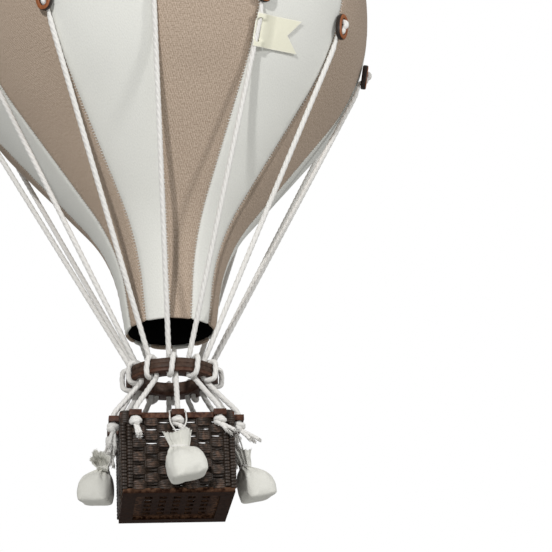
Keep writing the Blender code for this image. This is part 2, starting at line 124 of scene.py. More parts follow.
class Graph:
    """The node tree of a finish or of a way of making shapes."""

    def __init__(self, tree):
        self.tree = tree

    def node(self, kind, settings=None, *values, out=None, **sockets):
        """Add a node: its settings first, then the values or wires of its sockets."""
        made = self.tree.nodes.new(kind)
        for name, value in (settings or {}).items():
            if name == "stops":
                while len(made.color_ramp.elements) < len(value):
                    made.color_ramp.elements.new(1.0)
                for element, (place, tone) in zip(made.color_ramp.elements, value):
                    element.position = place
                    element.color = (*tone, 1.0)
            else:
                setattr(made, name, value)
        named = {socket.identifier.replace(" ", "_").lower(): socket for socket in made.inputs}
        given = list(zip(made.inputs, values)) + [(named[key], value) for key, value in sockets.items()]
        for socket, value in given:
            if isinstance(value, Wire):
                self.tree.links.new(value.socket, socket)
            else:
                socket.default_value = value
        outputs = [socket for socket in made.outputs if socket.identifier == out]
        return Wire(self, (outputs or made.outputs)[0])


class Finish(Graph):
    """A material with one Principled shader."""

    def __init__(self, name, roughness, **constants):
        self.material = bpy.data.materials.new(name)
        self.material.use_nodes = True
        super().__init__(self.material.node_tree)
        self.shader = self.tree.nodes["Principled BSDF"]
        self.set("Roughness", roughness)
        for socket, value in constants.items():
            self.set(socket.replace("_", " "), value)

    def set(self, socket, value):
        """Give the shader a value or a wire."""
        if isinstance(value, Wire):
            self.tree.links.new(value.socket, self.shader.inputs[socket])
        else:
            self.shader.inputs[socket].default_value = value

    def place(self):
        return self.node("ShaderNodeTexCoord", out="Object")

    def attribute(self, name):
        return self.node("ShaderNodeAttribute", {"attribute_name": name}, out="Fac")

    def stretched(self, place, scale):
        return self.node("ShaderNodeVectorMath", {"operation": "MULTIPLY"}, place, scale)

    def cloud(self, place, scale, detail=2.0, roughness=0.5):
        """Soft noise from 0 to 1."""
        return self.node(
            "ShaderNodeTexNoise", {}, vector=place, scale=scale, detail=detail, roughness=roughness,
        )

    def between(self, share, low, high):
        """A number or a colour between two, by a share from 0 to 1."""
        if isinstance(low, tuple) or isinstance(high, tuple):
            low, high = (value if isinstance(value, Wire) else (*value, 1.0) for value in (low, high))
            return self.node(
                "ShaderNodeMix", {"data_type": "RGBA"},
                factor_float=share, a_color=low, b_color=high, out="Result_Color",
            )
        return low + (high - low) * share

    def step(self, value, low, high):
        """0 below low and 1 above high, smooth between."""
        return self.node(
            "ShaderNodeMapRange", {"interpolation_type": "SMOOTHSTEP"},
            value=value, from_min=low, from_max=high,
        )

    def relief(self, height, depth):
        """Bump the surface by a height from 0 to 1."""
        bump = self.node("ShaderNodeBump", {}, height=height, distance=depth, strength=1.0)
        self.set("Normal", bump)


floor_finish = Finish("floor_paint", 0.9)
tone = floor_finish.cloud(floor_finish.place(), 6.0)
floor_finish.set("Base Color", floor_finish.between(tone, (0.62, 0.62, 0.61), (0.66, 0.66, 0.65)))
floor_mesh = bpy.data.meshes.new("floor")
corners = [(FLOOR_HALF * x, FLOOR_HALF * y, FLOOR_HEIGHT) for x, y in SQUARE]
floor_mesh.from_pydata(corners, [], [(0, 1, 2, 3)])
floor_mesh.materials.append(floor_finish.material)
floor = bpy.data.objects.new("floor", floor_mesh)
bpy.context.scene.collection.objects.link(floor)

room = bpy.data.worlds.new("room")
room.use_nodes = True
bpy.context.scene.world = room
room_graph = Graph(room.node_tree)
seen = room_graph.node("ShaderNodeLightPath", out="Is Camera Ray")
way = room_graph.node("ShaderNodeSeparateXYZ", {}, room_graph.node("ShaderNodeTexCoord", out="Generated"))
behind, above = (way.output(axis).math("MAXIMUM", 0.0) for axis in ("Y", "Z"))
glow = behind * GLOW_BEHIND + above * GLOW_ABOVE + GLOW_AROUND
room_light = room.node_tree.nodes["Background"]
room_light.inputs["Color"].default_value = (1.0, 1.0, 1.0, 1.0)
room.node_tree.links.new((glow + (1 - glow) * seen).socket, room_light.inputs["Strength"])

for name, place, width, power in LAMPS:
    lamp = bpy.data.objects.new(name, bpy.data.lights.new(name, "AREA"))
    lamp.data.size = width
    lamp.data.energy = power
    lamp.location = place
    lamp.rotation_mode = "QUATERNION"
    lamp.rotation_quaternion = (Vector(LAMP_AIM) - Vector(place)).to_track_quat("-Z", "Y")
    bpy.context.scene.collection.objects.link(lamp)

bpy.context.scene.view_settings.view_transform = "Standard"


# Envelope
# Twelve gores of fine knitted cotton jersey, taupe and off-white in turn, sewn edge to edge and pulled
# smooth over a stiff lining, near black as painted shade. Each gore is turned in at the mouth, and the two
# that meet are held by a close row of thread, which draws the seam down into a narrow valley.
MOUTH = -0.455
GORES = 12
GORE_ANGLE = 2 * pi / GORES
ENVELOPE_TURN = radians(-2.7)
ENVELOPE_RADIUS = 0.1625
SPHERE_HEIGHT = 0.2635
CONE_ANGLE = radians(40)
NECK_ANGLE = radians(8)
NECK_FILLET = 0.120
MOUTH_RADIUS = 0.0334
CROWN_OPENING = 0.010
CLOTH = 0.0006
HEM_DEPTH = 0.0012
HEM_FOLD = 0.0011
SEAM_DEPTH = 0.0008
SEAM_WIDTH = 0.0015
PUCKER_PITCH = 0.0064
PUCKER_REACH = 0.0045
PUCKER_DEPTH = 0.00022
SLACK_REACH = 0.012
SLACK_DEPTH = 0.0007
STITCH_PITCH = 0.0022
STITCH_LENGTH = 0.0024
STITCH_BITE = 0.00045
THREAD = 0.00062
LINING_CLOTH = 0.0003
LINING_GAP = 0.0015
LINING_START = 0.0062
LINING_SIDES = 72


def around(angle, radial, height, side=0.0):
    """A point at an angle about the axis, moved sideways along the tangent."""
    across = Vector((cos(angle), sin(angle), 0.0))
    outward = Vector((sin(angle), -cos(angle), 0.0))
    return outward * radial + across * side + Vector((0.0, 0.0, height + MOUTH))


def seam_angle(index):
    """Where a seam of the envelope lies: it hangs a little turned from the ring and the basket."""
    return index * GORE_ANGLE + ENVELOPE_TURN


def add_piece(name, mesh, finish, body="balloon", smooth=None):
    """A piece with its finish, riding on a body."""
    if not mesh.materials:
        mesh.materials.append(finish.material)
    if smooth is not None:
        mesh.shade_smooth()
        mesh.set_sharp_from_angle(angle=radians(smooth))
    piece = bpy.data.objects.new(name, mesh)
    bpy.context.scene.collection.objects.link(piece)
    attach(piece, body)
    return piece


def to_mesh(name, work):
    """A plain mesh of the shape that was worked out."""
    mesh = bpy.data.meshes.new(name)
    work.to_mesh(mesh)
    work.free()
    return mesh


def add_rings(work, sections, closed=False):
    """A skin through sections, each a loop of as many points, and back to the first if it is closed."""
    loops = [[work.verts.new(point) for point in section] for section in sections]
    for loop, following in zip(loops, loops[1:] + loops[:1] if closed else loops[1:]):
        for index in range(len(loop)):
            after = (index + 1) % len(loop)
            work.faces.new((loop[index], loop[after], following[after], following[index]))
    return loops


def thicken(piece, thickness):
    """Give a skin its thickness, inwards."""
    modifier = piece.modifiers.new("thickness", "SOLIDIFY")
    modifier.thickness = thickness
    modifier.offset = -1.0


def arc(centre, radius, start, end, count):
    """Points (radius, height) on an arc whose normal turns from start to end, in radians above level."""
    turns = [start + (end - start) * step / count for step in range(count + 1)]
    return [(centre[0] + radius * cos(turn), centre[1] + radius * sin(turn)) for turn in turns]


def envelope_line():
    """The envelope's outline as (radius, height), from the hem's inner edge up to the crown."""
    touch = (ENVELOPE_RADIUS * cos(CONE_ANGLE), SPHERE_HEIGHT - ENVELOPE_RADIUS * sin(CONE_ANGLE))
    cone_at_mouth = touch[0] - touch[1] * tan(CONE_ANGLE)
    corner = (MOUTH_RADIUS - cone_at_mouth) / (tan(CONE_ANGLE) - tan(NECK_ANGLE))
    run = NECK_FILLET * tan((CONE_ANGLE - NECK_ANGLE) / 2)
    fillet = (
        MOUTH_RADIUS + corner * tan(NECK_ANGLE) - run * sin(NECK_ANGLE) + NECK_FILLET * cos(NECK_ANGLE),
        corner - run * cos(NECK_ANGLE) - NECK_FILLET * sin(NECK_ANGLE),
    )
    fold = (MOUTH_RADIUS - HEM_FOLD, HEM_FOLD)
    top = acos(CROWN_OPENING / ENVELOPE_RADIUS)
    line = [(fold[0] - HEM_FOLD, HEM_DEPTH + HEM_FOLD)]
    line += arc(fold, HEM_FOLD, -pi, -NECK_ANGLE, 8)
    line += arc(fillet, -NECK_FILLET, -NECK_ANGLE, -CONE_ANGLE, 16)
    line += arc((0.0, SPHERE_HEIGHT), ENVELOPE_RADIUS, -CONE_ANGLE, top, 60)
    return np.array(line)


def along_line(line, marks):
    """Points and outward normals of a line at distances along it."""
    steps = np.hypot(*np.diff(line, axis=0).T)
    length = np.concatenate(([0.0], np.cumsum(steps)))
    points = np.stack([np.interp(marks, length, line[:, axis]) for axis in (0, 1)], axis=1)
    slopes = np.gradient(points, marks, axis=0)
    slopes /= np.hypot(*slopes.T)[:, None]
    return points, np.stack([slopes[:, 1], -slopes[:, 0]], axis=1)


envelope_outline = envelope_line()
envelope_length = np.hypot(*np.diff(envelope_outline, axis=0).T).sum()
gore_marks = np.concatenate((np.arange(0.0, 0.010, 0.0007), np.linspace(0.010, envelope_length, 176)))
gore_line, gore_normals = along_line(envelope_outline, gore_marks)
gore_edge = (0.0, 0.25, 0.45, 0.62, 0.76, 0.86, 0.92, 0.96, 0.985, 1.0)
gore_columns = [-share for share in reversed(gore_edge[1:])] + list(gore_edge)


def jersey(name, light, dark, heather, ribs):
    """Fine knitted cotton on a gore's own UV map, in metres: slanting ribs, heather and soft shades."""
    finish = Finish(name, 0.95, Sheen_Weight=0.03, Sheen_Roughness=0.5, Specular_IOR_Level=0.25)
    place = finish.node("ShaderNodeUVMap", {"uv_map": "cloth"})
    split = finish.node("ShaderNodeSeparateXYZ", {}, place)
    across, along = split.output("X"), split.output("Y")
    wale, course, slant = 0.0017, 0.0014, 0.0040
    rib = ((across / wale + along / slant).math("FRACT") - 0.5).math("ABSOLUTE") * 2
    loop = ((along / course).math("FRACT") - 0.5).math("ABSOLUTE") * 2
    stitch = rib * 0.65 + loop * 0.35
    fibres = finish.cloud(finish.stretched(place, (1.0, 0.7, 1.0)), 1000.0, 2.0)
    clouds = finish.cloud(place, 22.0, 3.0)
    shade = (fibres - 0.5) * heather + (stitch - 0.5) * ribs + (clouds - 0.5) * 0.25
    tone = finish.between((shade + 0.5).math("MAXIMUM", 0.0).math("MINIMUM", 1.0), dark, light)
    finish.set("Base Color", tone)
    finish.relief(stitch * ribs + fibres * 0.5, 0.00018)
    return finish


def soft(point, scale, seed):
    """Smooth noise about zero."""
    return noise.noise(Vector(point) * scale + Vector((seed * 7.3, seed * 3.1, seed * 5.7)))


off_white = jersey("jersey_off_white", (0.785, 0.785, 0.740), (0.690, 0.690, 0.648), 1.4, 0.10)
taupe = jersey("jersey_taupe", (0.540, 0.432, 0.342), (0.310, 0.236, 0.175), 2.4, 0.60)


def gore_mesh(index):
    """One gore: its seams drawn in, small puckers beside them and a little slackness between."""
    work = bmesh.new()
    grid = []
    for (radius, height), normal, mark in zip(gore_line, gore_normals, gore_marks):
        row = []
        for share in gore_columns:
            angle = seam_angle(index + 0.5 + share / 2)
            from_seam = radius * (1 - abs(share)) * GORE_ANGLE / 2
            seam = index + (share > 0)
            valley = exp(-((from_seam / SEAM_WIDTH) ** 2))
            pucker = sin(2 * pi * (mark / PUCKER_PITCH + 3 * soft((mark, 0, 0), 40, seam % GORES)))
            pucker *= exp(-((from_seam / PUCKER_REACH) ** 2)) - valley
            slack = soft((sin(angle) * radius, cos(angle) * radius, height), 28, 1)
            slack *= 1 - exp(-((from_seam / SLACK_REACH) ** 2))
            out = PUCKER_DEPTH * pucker - SEAM_DEPTH * valley + SLACK_DEPTH * slack
            if mark < HEM_DEPTH:
                out = 0.3 * out
            row.append(work.verts.new(around(angle, radius + out * normal[0], height + out * normal[1])))
        grid.append(row)
    uv = work.loops.layers.uv.new("cloth")
    for lower in range(len(grid) - 1):
        for left in range(len(gore_columns) - 1):
            corners = [(lower, left), (lower, left + 1), (lower + 1, left + 1), (lower + 1, left)]
            face = work.faces.new([grid[row][column] for row, column in corners])
            face.smooth = True
            for loop, (row, column) in zip(face.loops, corners):
                across = gore_columns[column] * GORE_ANGLE / 2 * gore_line[row][0]
                loop[uv].uv = (across + 0.2 * index, gore_marks[row])
    return to_mesh(f"gore_cloth_{index + 1:02d}", work)


gore_widths = gore_line[:, 0] * GORE_ANGLE
gore_area = float(np.sum((gore_widths[1:] + gore_widths[:-1]) / 2 * np.diff(gore_marks)))
for index in range(GORES):
    finish, slot = (off_white, "light_fabric") if index % 2 else (taupe, "taupe_fabric")
    gore = add_piece(f"gore_cloth_{index + 1:02d}", gore_mesh(index), finish)
    thicken(gore, CLOTH)
    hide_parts(f"gore_{index + 1:02d}")

# The lining is coloured near black: painted shade for the dark inside of the envelope seen through the
# mouth.
lining_shade_finish = Finish("black_lining", 0.95, Specular_IOR_Level=0.1)
weave = lining_shade_finish.cloud(lining_shade_finish.place(), 900.0)
lining_shade_finish.set("Base Color", lining_shade_finish.between(weave, (0.0015,) * 3, (0.004,) * 3))
lining_marks = np.concatenate(([0.0], np.linspace(LINING_START, envelope_length - 0.001, 70)))
lining_line, lining_normals = along_line(envelope_outline, lining_marks)
lining_sections = []
for (radius, height), normal in zip(lining_line[1:], lining_normals[1:]):
    inside = (radius - LINING_GAP * normal[0], height - LINING_GAP * normal[1])
    turns = [2 * pi * step / LINING_SIDES for step in range(LINING_SIDES)]
    lining_sections.append([around(turn, *inside) for turn in turns])
lining_work = bmesh.new()
lining_work.faces.new(add_rings(lining_work, lining_sections)[-1])
lining = add_piece("lining", to_mesh("lining", lining_work), lining_shade_finish, smooth=60)
thicken(lining, LINING_CLOTH)
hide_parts("mouth_hem")


class Shaper(Graph):
    """A Geometry Nodes tree with named inputs, ending in a plain mesh with one finish."""

    def __init__(self, name, **inputs):
        super().__init__(bpy.data.node_groups.new(name, "GeometryNodeTree"))
        interface = self.tree.interface
        interface.new_socket("Geometry", in_out="OUTPUT", socket_type="NodeSocketGeometry")
        interface.new_socket("Geometry", in_out="INPUT", socket_type="NodeSocketGeometry")
        for key, kind in inputs.items():
            interface.new_socket(key, in_out="INPUT", socket_type=f"NodeSocket{kind}")
        self.entry = self.tree.nodes.new("NodeGroupInput")

    def given(self, name):
        return Wire(self, self.entry.outputs[name])

    def end(self, geometry):
        """Realize, smooth and finish the geometry, and send it out."""
        plain = self.node("GeometryNodeRealizeInstances", {}, geometry=geometry)
        smooth = self.node("GeometryNodeSetShadeSmooth", {}, geometry=plain)
        coated = self.node("GeometryNodeSetMaterial", {}, geometry=smooth, material=self.given("Finish"))
        last = self.tree.nodes.new("NodeGroupOutput")
        self.tree.links.new(coated.socket, last.inputs["Geometry"])

    def grow(self, name, seed_data, **values):
        """The mesh that the tree makes from a mesh or curve."""
        start = bpy.data.objects.new(name, seed_data)
        bpy.context.scene.collection.objects.link(start)
        modifier = start.modifiers.new("grow", "NODES")
        modifier.node_group = self.tree
        for item in self.tree.interface.items_tree:
            if item.in_out == "INPUT" and item.name in values:
                modifier[item.identifier] = values[item.name]
        depsgraph = bpy.context.evaluated_depsgraph_get()
        mesh = bpy.data.meshes.new_from_object(start.evaluated_get(depsgraph))
        start.modifiers.remove(modifier)
        bpy.data.objects.remove(start)
        mesh.name = name
        return mesh


def stitch_shaper():
    """A short thread laid across each point, which says which way is across and which is out."""
    shaper = Shaper("stitches", Length="Float", Thickness="Float", Seed="Int", Finish="Material")
    half = shaper.given("Length") * 0.5
    lift = shaper.given("Thickness") * 0.45
    line = shaper.node(
        "GeometryNodeCurveQuadraticBezier", {}, resolution=3,
        start=shaper.node("ShaderNodeCombineXYZ", {}, half * -1, 0.0, lift * -0.6),
        middle=shaper.node("ShaderNodeCombineXYZ", {}, 0.0, 0.0, lift * 2.2),
        end=shaper.node("ShaderNodeCombineXYZ", {}, half, 0.0, lift * -0.6),
    )
    section = shaper.node(
        "GeometryNodeCurvePrimitiveCircle", {}, resolution=5, radius=shaper.given("Thickness") * 0.5
    )
    thread = shaper.node("GeometryNodeCurveToMesh", {}, curve=line, profile_curve=section, fill_caps=True)
    across = shaper.node("GeometryNodeInputNamedAttribute", {"data_type": "FLOAT_VECTOR"}, name="across")
    out = shaper.node("GeometryNodeInputNamedAttribute", {"data_type": "FLOAT_VECTOR"}, name="out")
    turn = shaper.node(
        "FunctionNodeAxesToRotation", {"primary_axis": "X", "secondary_axis": "Z"},
        primary_axis=across, secondary_axis=out,
    )
    size = shaper.node(
        "FunctionNodeRandomValue", {"data_type": "FLOAT"}, min_001=0.8, max_001=1.2,
        seed=shaper.given("Seed"), out="Value_001",
    )
    placed = shaper.node(
        "GeometryNodeInstanceOnPoints", {}, points=shaper.given("Geometry"), instance=thread,
        rotation=turn, scale=size,
    )
    shaper.end(placed)
    return shaper


def marked_points(name, points, **vectors):
    """A mesh of loose points that carry vectors."""
    mesh = bpy.data.meshes.new(name)
    mesh.from_pydata(points, [], [])
    for key, values in vectors.items():
        attribute = mesh.attributes.new(key, "FLOAT_VECTOR", "POINT")
        attribute.data.foreach_set("vector", np.array(values, np.float32).ravel())
    return mesh


thread_finish = Finish("sewing_thread", 0.7, Sheen_Weight=0.2)
ply = thread_finish.cloud(thread_finish.place(), 2500.0)
thread_finish.set("Base Color", thread_finish.between(ply, (0.62, 0.61, 0.57), (0.78, 0.77, 0.73)))

stitches = stitch_shaper()
seam_marks = np.arange(0.006, envelope_length - 0.014, STITCH_PITCH)
seam_line, seam_normals = along_line(envelope_outline, seam_marks)
places, across, out = [], [], []
shaky = random.Random(11)
for index in range(GORES):
    angle = seam_angle(index)
    for (radius, height), normal in zip(seam_line, seam_normals):
        sunk = SEAM_DEPTH * 0.75
        bite = -STITCH_BITE if index % 2 else STITCH_BITE
        places.append(around(angle, radius - sunk * normal[0], height - sunk * normal[1], bite))
        slant = shaky.uniform(-0.25, 0.25)
        up = Vector((-normal[1] * sin(angle), normal[1] * cos(angle), normal[0]))
        across.append(Vector((cos(angle), sin(angle), 0.0)) + slant * up)
        out.append((normal[0] * sin(angle), -normal[0] * cos(angle), normal[1]))
seam_mesh = stitches.grow(
    "seam_thread", marked_points("seam_points", places, across=across, out=out),
    Length=STITCH_LENGTH, Thickness=THREAD, Seed=3, Finish=thread_finish.material,
)
add_piece("seam_thread", seam_mesh, thread_finish)


# Crown
# A round patch of the same off-white jersey, folded under at its edge and sewn down over the gores'
# meeting point, with a loop of thin twisted cord through it that takes the hook.
PATCH_RADIUS = 0.022
PATCH_THICKNESS = 0.0015
PATCH_SIDES = 64
PATCH_SEAM_INSET = 0.0035
PATCH_STITCHES = 48
LOOP_HALF_WIDTH = 0.0065
LOOP_ROPE = 0.0015
LOOP_LAY = 0.010


def on_crown(angle, reach, lean):
    """A point above the sphere's middle, at a lean above level."""
    return around(angle, reach * cos(lean), SPHERE_HEIGHT + reach * sin(lean))


patch_edge = acos(PATCH_RADIUS / ENVELOPE_RADIUS)
patch_low = ENVELOPE_RADIUS + 0.0001
patch_profile = [(patch_low, patch_edge)]
for turn in range(5):
    bulge = (pi / 2) * turn / 4
    lean = patch_edge + PATCH_THICKNESS * (1 - sin(bulge)) / ENVELOPE_RADIUS
    patch_profile.append((patch_low + PATCH_THICKNESS * (0.2 + 0.8 * sin(bulge)), lean))
inner_edge = patch_edge + (pi / 2 - patch_edge) * 0.16
for step in range(9):
    lean = inner_edge + (pi / 2 - 0.002 - inner_edge) * step / 8
    dip = 0.0004 * exp(-((step - 0.6) ** 2))
    patch_profile.append((patch_low + PATCH_THICKNESS - dip, lean))
patch_turns = [2 * pi * step / PATCH_SIDES for step in range(PATCH_SIDES)]
patch_work = bmesh.new()
uv = patch_work.loops.layers.uv.new("cloth")
patch_sections = [[on_crown(turn, *point) for turn in patch_turns] for point in patch_profile]
patch_loops = add_rings(patch_work, patch_sections)
patch_work.faces.new(patch_loops[-1])
patch_work.faces.new(reversed(patch_loops[0]))
for face in patch_work.faces:
    for loop in face.loops:
        loop[uv].uv = (loop.vert.co.x, loop.vert.co.y)
patch = add_piece(
    "crown_cloth", to_mesh("crown_cloth", patch_work), off_white, smooth=50
)
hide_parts("crown_patch")

places, across, out = [], [], []
patch_seam = acos((PATCH_RADIUS - PATCH_SEAM_INSET) / ENVELOPE_RADIUS)
for step in range(PATCH_STITCHES):
    angle = 2 * pi * step / PATCH_STITCHES
    places.append(on_crown(angle, patch_low + PATCH_THICKNESS, patch_seam))
    across.append((cos(angle), sin(angle), 0.0))
    out.append((cos(patch_seam) * sin(angle), -cos(patch_seam) * cos(angle), sin(patch_seam)))
patch_stitches = stitches.grow(
    "crown_thread", marked_points("crown_points", places, across=across, out=out),
    Length=0.0017, Thickness=0.0004, Seed=5, Finish=thread_finish.material,
)
add_piece("crown_thread", patch_stitches, thread_finish)


def rope_shaper():
    """A rope of three strands twisted round each other, along a curve."""
    shaper = Shaper("twisted_rope", Radius="Float", Lay="Float", Step="Float", Finish="Material")
    evened = shaper.node(
        "GeometryNodeResampleCurve", {"mode": "LENGTH"},
        curve=shaper.given("Geometry"), length=shaper.given("Step"),
    )
    length = shaper.node("GeometryNodeSplineParameter", out="Length")
    tilt = length * (-2 * pi) / shaper.given("Lay")
    tilted = shaper.node("GeometryNodeSetCurveTilt", {}, curve=evened, tilt=tilt)
    circle = shaper.node("GeometryNodeCurvePrimitiveCircle", {}, resolution=18, radius=1.0)
    spot = shaper.node("ShaderNodeSeparateXYZ", {}, shaper.node("GeometryNodeInputPosition"))
    turn = spot.output("Y").math("ARCTAN2", spot.output("X")) + 4 * pi
    petal = turn.math("MODULO", 2 * pi / 3) - pi / 3
    centre, strand = 0.26, 0.74
    reach = petal.math("COSINE") * centre
    reach = reach + ((strand**2 - (petal.math("SINE") * centre) ** 2).math("MAXIMUM", 0.0)).math("SQRT")
    reach = reach * shaper.given("Radius")
    spot_moved = shaper.node(
        "ShaderNodeVectorMath", {"operation": "SCALE"}, shaper.node("GeometryNodeInputPosition"), scale=reach
    )
    lobes = shaper.node("GeometryNodeSetPosition", {}, geometry=circle, position=spot_moved)
    lobes = shaper.node(
        "GeometryNodeStoreNamedAttribute", {"data_type": "FLOAT"}, geometry=lobes, name="groove",
        value=petal.math("ABSOLUTE") * (3 / pi),
    )
    swept = shaper.node(
        "GeometryNodeCurveToMesh", {}, curve=tilted, profile_curve=lobes,
        scale=shaper.node("GeometryNodeInputRadius"), fill_caps=True,
    )
    shaper.end(swept)
    return shaper


def line_curve(name, lines):
    """A curve of straight pieces: each line is a list of (point, thickness factor)."""
    curve = bpy.data.curves.new(name, "CURVE")
    curve.dimensions = "3D"
    for line in lines:
        spline = curve.splines.new("POLY")
        spline.points.add(len(line) - 1)
        for target, (point, factor) in zip(spline.points, line):
            target.co = (*point, 1.0)
            target.radius = factor
    return curve


def rounded(knots, step=0.0008):
    """A smooth line through (point, factor) knots, sampled closely."""
    points = np.array([tuple(point) for point, _ in knots])
    factors = np.array([factor for _, factor in knots])
    points = np.vstack((2 * points[0] - points[1], points, 2 * points[-1] - points[-2]))
    gaps = np.maximum(np.linalg.norm(np.diff(points, axis=0), axis=1), 1e-7) ** 0.5
    times = np.concatenate(([0.0], np.cumsum(gaps)))
    line = []
    for piece in range(1, len(points) - 2):
        count = max(2, ceil(np.linalg.norm(points[piece + 1] - points[piece]) / step))
        t0, t1, t2, t3 = times[piece - 1:piece + 3]
        p0, p1, p2, p3 = points[piece - 1:piece + 3]
        for place in range(count):
            share = place / count
            t = t1 + (t2 - t1) * share
            a1 = p0 * (t1 - t) / (t1 - t0) + p1 * (t - t0) / (t1 - t0)
            a2 = p1 * (t2 - t) / (t2 - t1) + p2 * (t - t1) / (t2 - t1)
            a3 = p2 * (t3 - t) / (t3 - t2) + p3 * (t - t2) / (t3 - t2)
            b1 = a1 * (t2 - t) / (t2 - t0) + a2 * (t - t0) / (t2 - t0)
            b2 = a2 * (t3 - t) / (t3 - t1) + a3 * (t - t1) / (t3 - t1)
            spot = b1 * (t2 - t) / (t2 - t1) + b2 * (t - t1) / (t2 - t1)
            thick = factors[piece - 1] + (factors[piece] - factors[piece - 1]) * share
            line.append((Vector(spot), float(thick)))
    line.append((Vector(points[-2]), float(factors[-1])))
    return line


rope_finish = Finish("twisted_cotton", 0.9, Sheen_Weight=0.15, Sheen_Roughness=0.5, Specular_IOR_Level=0.25)
groove = rope_finish.attribute("groove")
hollow = rope_finish.step(groove, 0.72, 1.0)
yarn_place = rope_finish.place()
yarn = rope_finish.cloud(yarn_place, 1400.0, 3.0)
grime = rope_finish.cloud(yarn_place, 55.0, 2.0)
crest = rope_finish.between(grime, (0.76, 0.74, 0.705), (0.84, 0.825, 0.795))
# Painted shade: the grooves between the strands are coloured darker than the crests.
shade = hollow * 0.30 + (yarn - 0.5) * 0.25
rope_finish.set("Base Color", rope_finish.between(shade, crest, (0.60, 0.575, 0.53)))
rope_finish.relief(yarn * 0.7 + (1 - hollow) * 0.3, 0.00015)

twist = rope_shaper()
loop_foot = SPHERE_HEIGHT + ENVELOPE_RADIUS - 0.001
loop_centre = -MOUTH + LOOP_ROPE - LOOP_HALF_WIDTH
loop_leg = ((0.0045, loop_foot + MOUTH), (0.0060, loop_foot + 0.007 + MOUTH))
knots = [(Vector((-side, 0.0, height)), 1.0) for side, height in loop_leg]
for step in range(11):
    turn = pi * (1 - step / 10)
    top = MOUTH + loop_centre + LOOP_HALF_WIDTH * sin(turn)
    knots.append((Vector((LOOP_HALF_WIDTH * cos(turn), 0.0, top)), 1.0))
knots += [(Vector((side, 0.0, height)), 1.0) for side, height in reversed(loop_leg)]
loop_mesh = twist.grow(
    "loop_cord", line_curve("loop_line", [rounded(knots)]),
    Radius=LOOP_ROPE, Lay=LOOP_LAY, Step=0.0007, Finish=rope_finish.material,
)
loop_cord = add_piece("loop_cord", loop_mesh, rope_finish)
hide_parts("hanging_loop")


# Toggles
# Oval rings of hardwood, turned and oiled: an orange-brown face with clear grain, and sides coloured near
# black. Each lies on a seam with a rope's end drawn up through it, which lifts its lower end.
TOGGLE_HEIGHT = 0.209
TOGGLE_LENGTH = 0.020
TOGGLE_WIDTH = 0.013
TOGGLE_BAR = 0.0036
TOGGLE_THICKNESS = 0.0045
TOGGLE_LIFT = 0.0018
TOGGLE_TILT = radians(9.5)


def surface_frame(angle, height):
    """The frame on the sphere at a height: X along the hoop, Y up the meridian, Z outwards."""
    lean = asin((height - SPHERE_HEIGHT) / ENVELOPE_RADIUS)
    across = Vector((cos(angle), sin(angle), 0.0))
    outward = Vector((cos(lean) * sin(angle), -cos(lean) * cos(angle), sin(lean)))
    here = Matrix((across, outward.cross(across), outward)).transposed().to_4x4()
    here.translation = around(angle, ENVELOPE_RADIUS * cos(lean), height)
    return here


def rounded_power(value, power):
    """The signed power that squares off an oval."""
    return (abs(value) ** (2 / power)) * (1 if value >= 0 else -1)


toggle_finish = Finish(
    "oiled_hardwood", 0.48, Coat_Weight=0.10, Coat_Roughness=0.30, Specular_IOR_Level=0.35
)
face_on = toggle_finish.attribute("face")
grain_place = toggle_finish.node("ShaderNodeUVMap", {"uv_map": "grain"})
grain = toggle_finish.cloud(toggle_finish.stretched(grain_place, (1.0, 0.12, 1.0)), 1400.0, 3.0)
figure = toggle_finish.cloud(toggle_finish.stretched(grain_place, (1.0, 0.3, 1.0)), 260.0, 2.0)
face_tone = toggle_finish.between(grain * 0.6 + figure * 0.4, (0.16, 0.040, 0.014), (0.44, 0.150, 0.042))
face_mask = toggle_finish.step(face_on + (figure - 0.5) * 0.35, 0.45, 0.72)
toggle_finish.set("Base Color", toggle_finish.between(face_mask, (0.016, 0.008, 0.005), face_tone))
toggle_finish.relief(grain, 0.00008)


def toggle_mesh(index):
    """An oval ring with rounded edges."""
    tilt = Matrix.Translation((0.0, 0.0, TOGGLE_LIFT)) @ Matrix.Rotation(-TOGGLE_TILT, 4, "X")
    stand = surface_frame(seam_angle(index), TOGGLE_HEIGHT) @ tilt
    work = bmesh.new()
    face_layer = work.verts.layers.float.new("face")
    uv = work.loops.layers.uv.new("grain")
    flat, loops = {}, []
    for step in range(56):
        turn = 2 * pi * (step + 0.5) / 56
        loop = []
        for corner in range(16):
            bend = 2 * pi * corner / 16
            inward = 0.5 - 0.5 * rounded_power(cos(bend), 3.2)
            rise = 0.5 + 0.5 * rounded_power(sin(bend), 3.2)
            half_width = TOGGLE_WIDTH / 2 - TOGGLE_BAR * inward
            half_length = TOGGLE_LENGTH / 2 - TOGGLE_BAR * inward
            spot = Vector((
                rounded_power(cos(turn), 2.3) * half_width,
                rounded_power(sin(turn), 2.3) * half_length,
                TOGGLE_THICKNESS * rise,
            ))
            vertex = work.verts.new(stand @ spot)
            vertex[face_layer] = max(0.0, sin(bend)) * min(1.0, 1.15 - 0.25 * abs(2 * inward - 1))
            flat[vertex] = spot
            loop.append(vertex)
        loops.append(loop)
    for step, loop in enumerate(loops):
        following = loops[(step + 1) % len(loops)]
        for corner in range(16):
            after = (corner + 1) % 16
            face = work.faces.new((loop[corner], following[corner], following[after], loop[after]))
            for side in face.loops:
                spot = flat[side.vert]
                side[uv].uv = (spot.x + spot.z * 0.7 + 0.05 * index, spot.y)
    bmesh.ops.recalc_face_normals(work, faces=work.faces)
    return to_mesh(f"toggle_wood_{index + 1:02d}", work)


for index in range(GORES):
    toggle = add_piece(
        f"toggle_wood_{index + 1:02d}", toggle_mesh(index), toggle_finish, smooth=40
    )
    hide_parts(f"toggle_{index + 1:02d}")


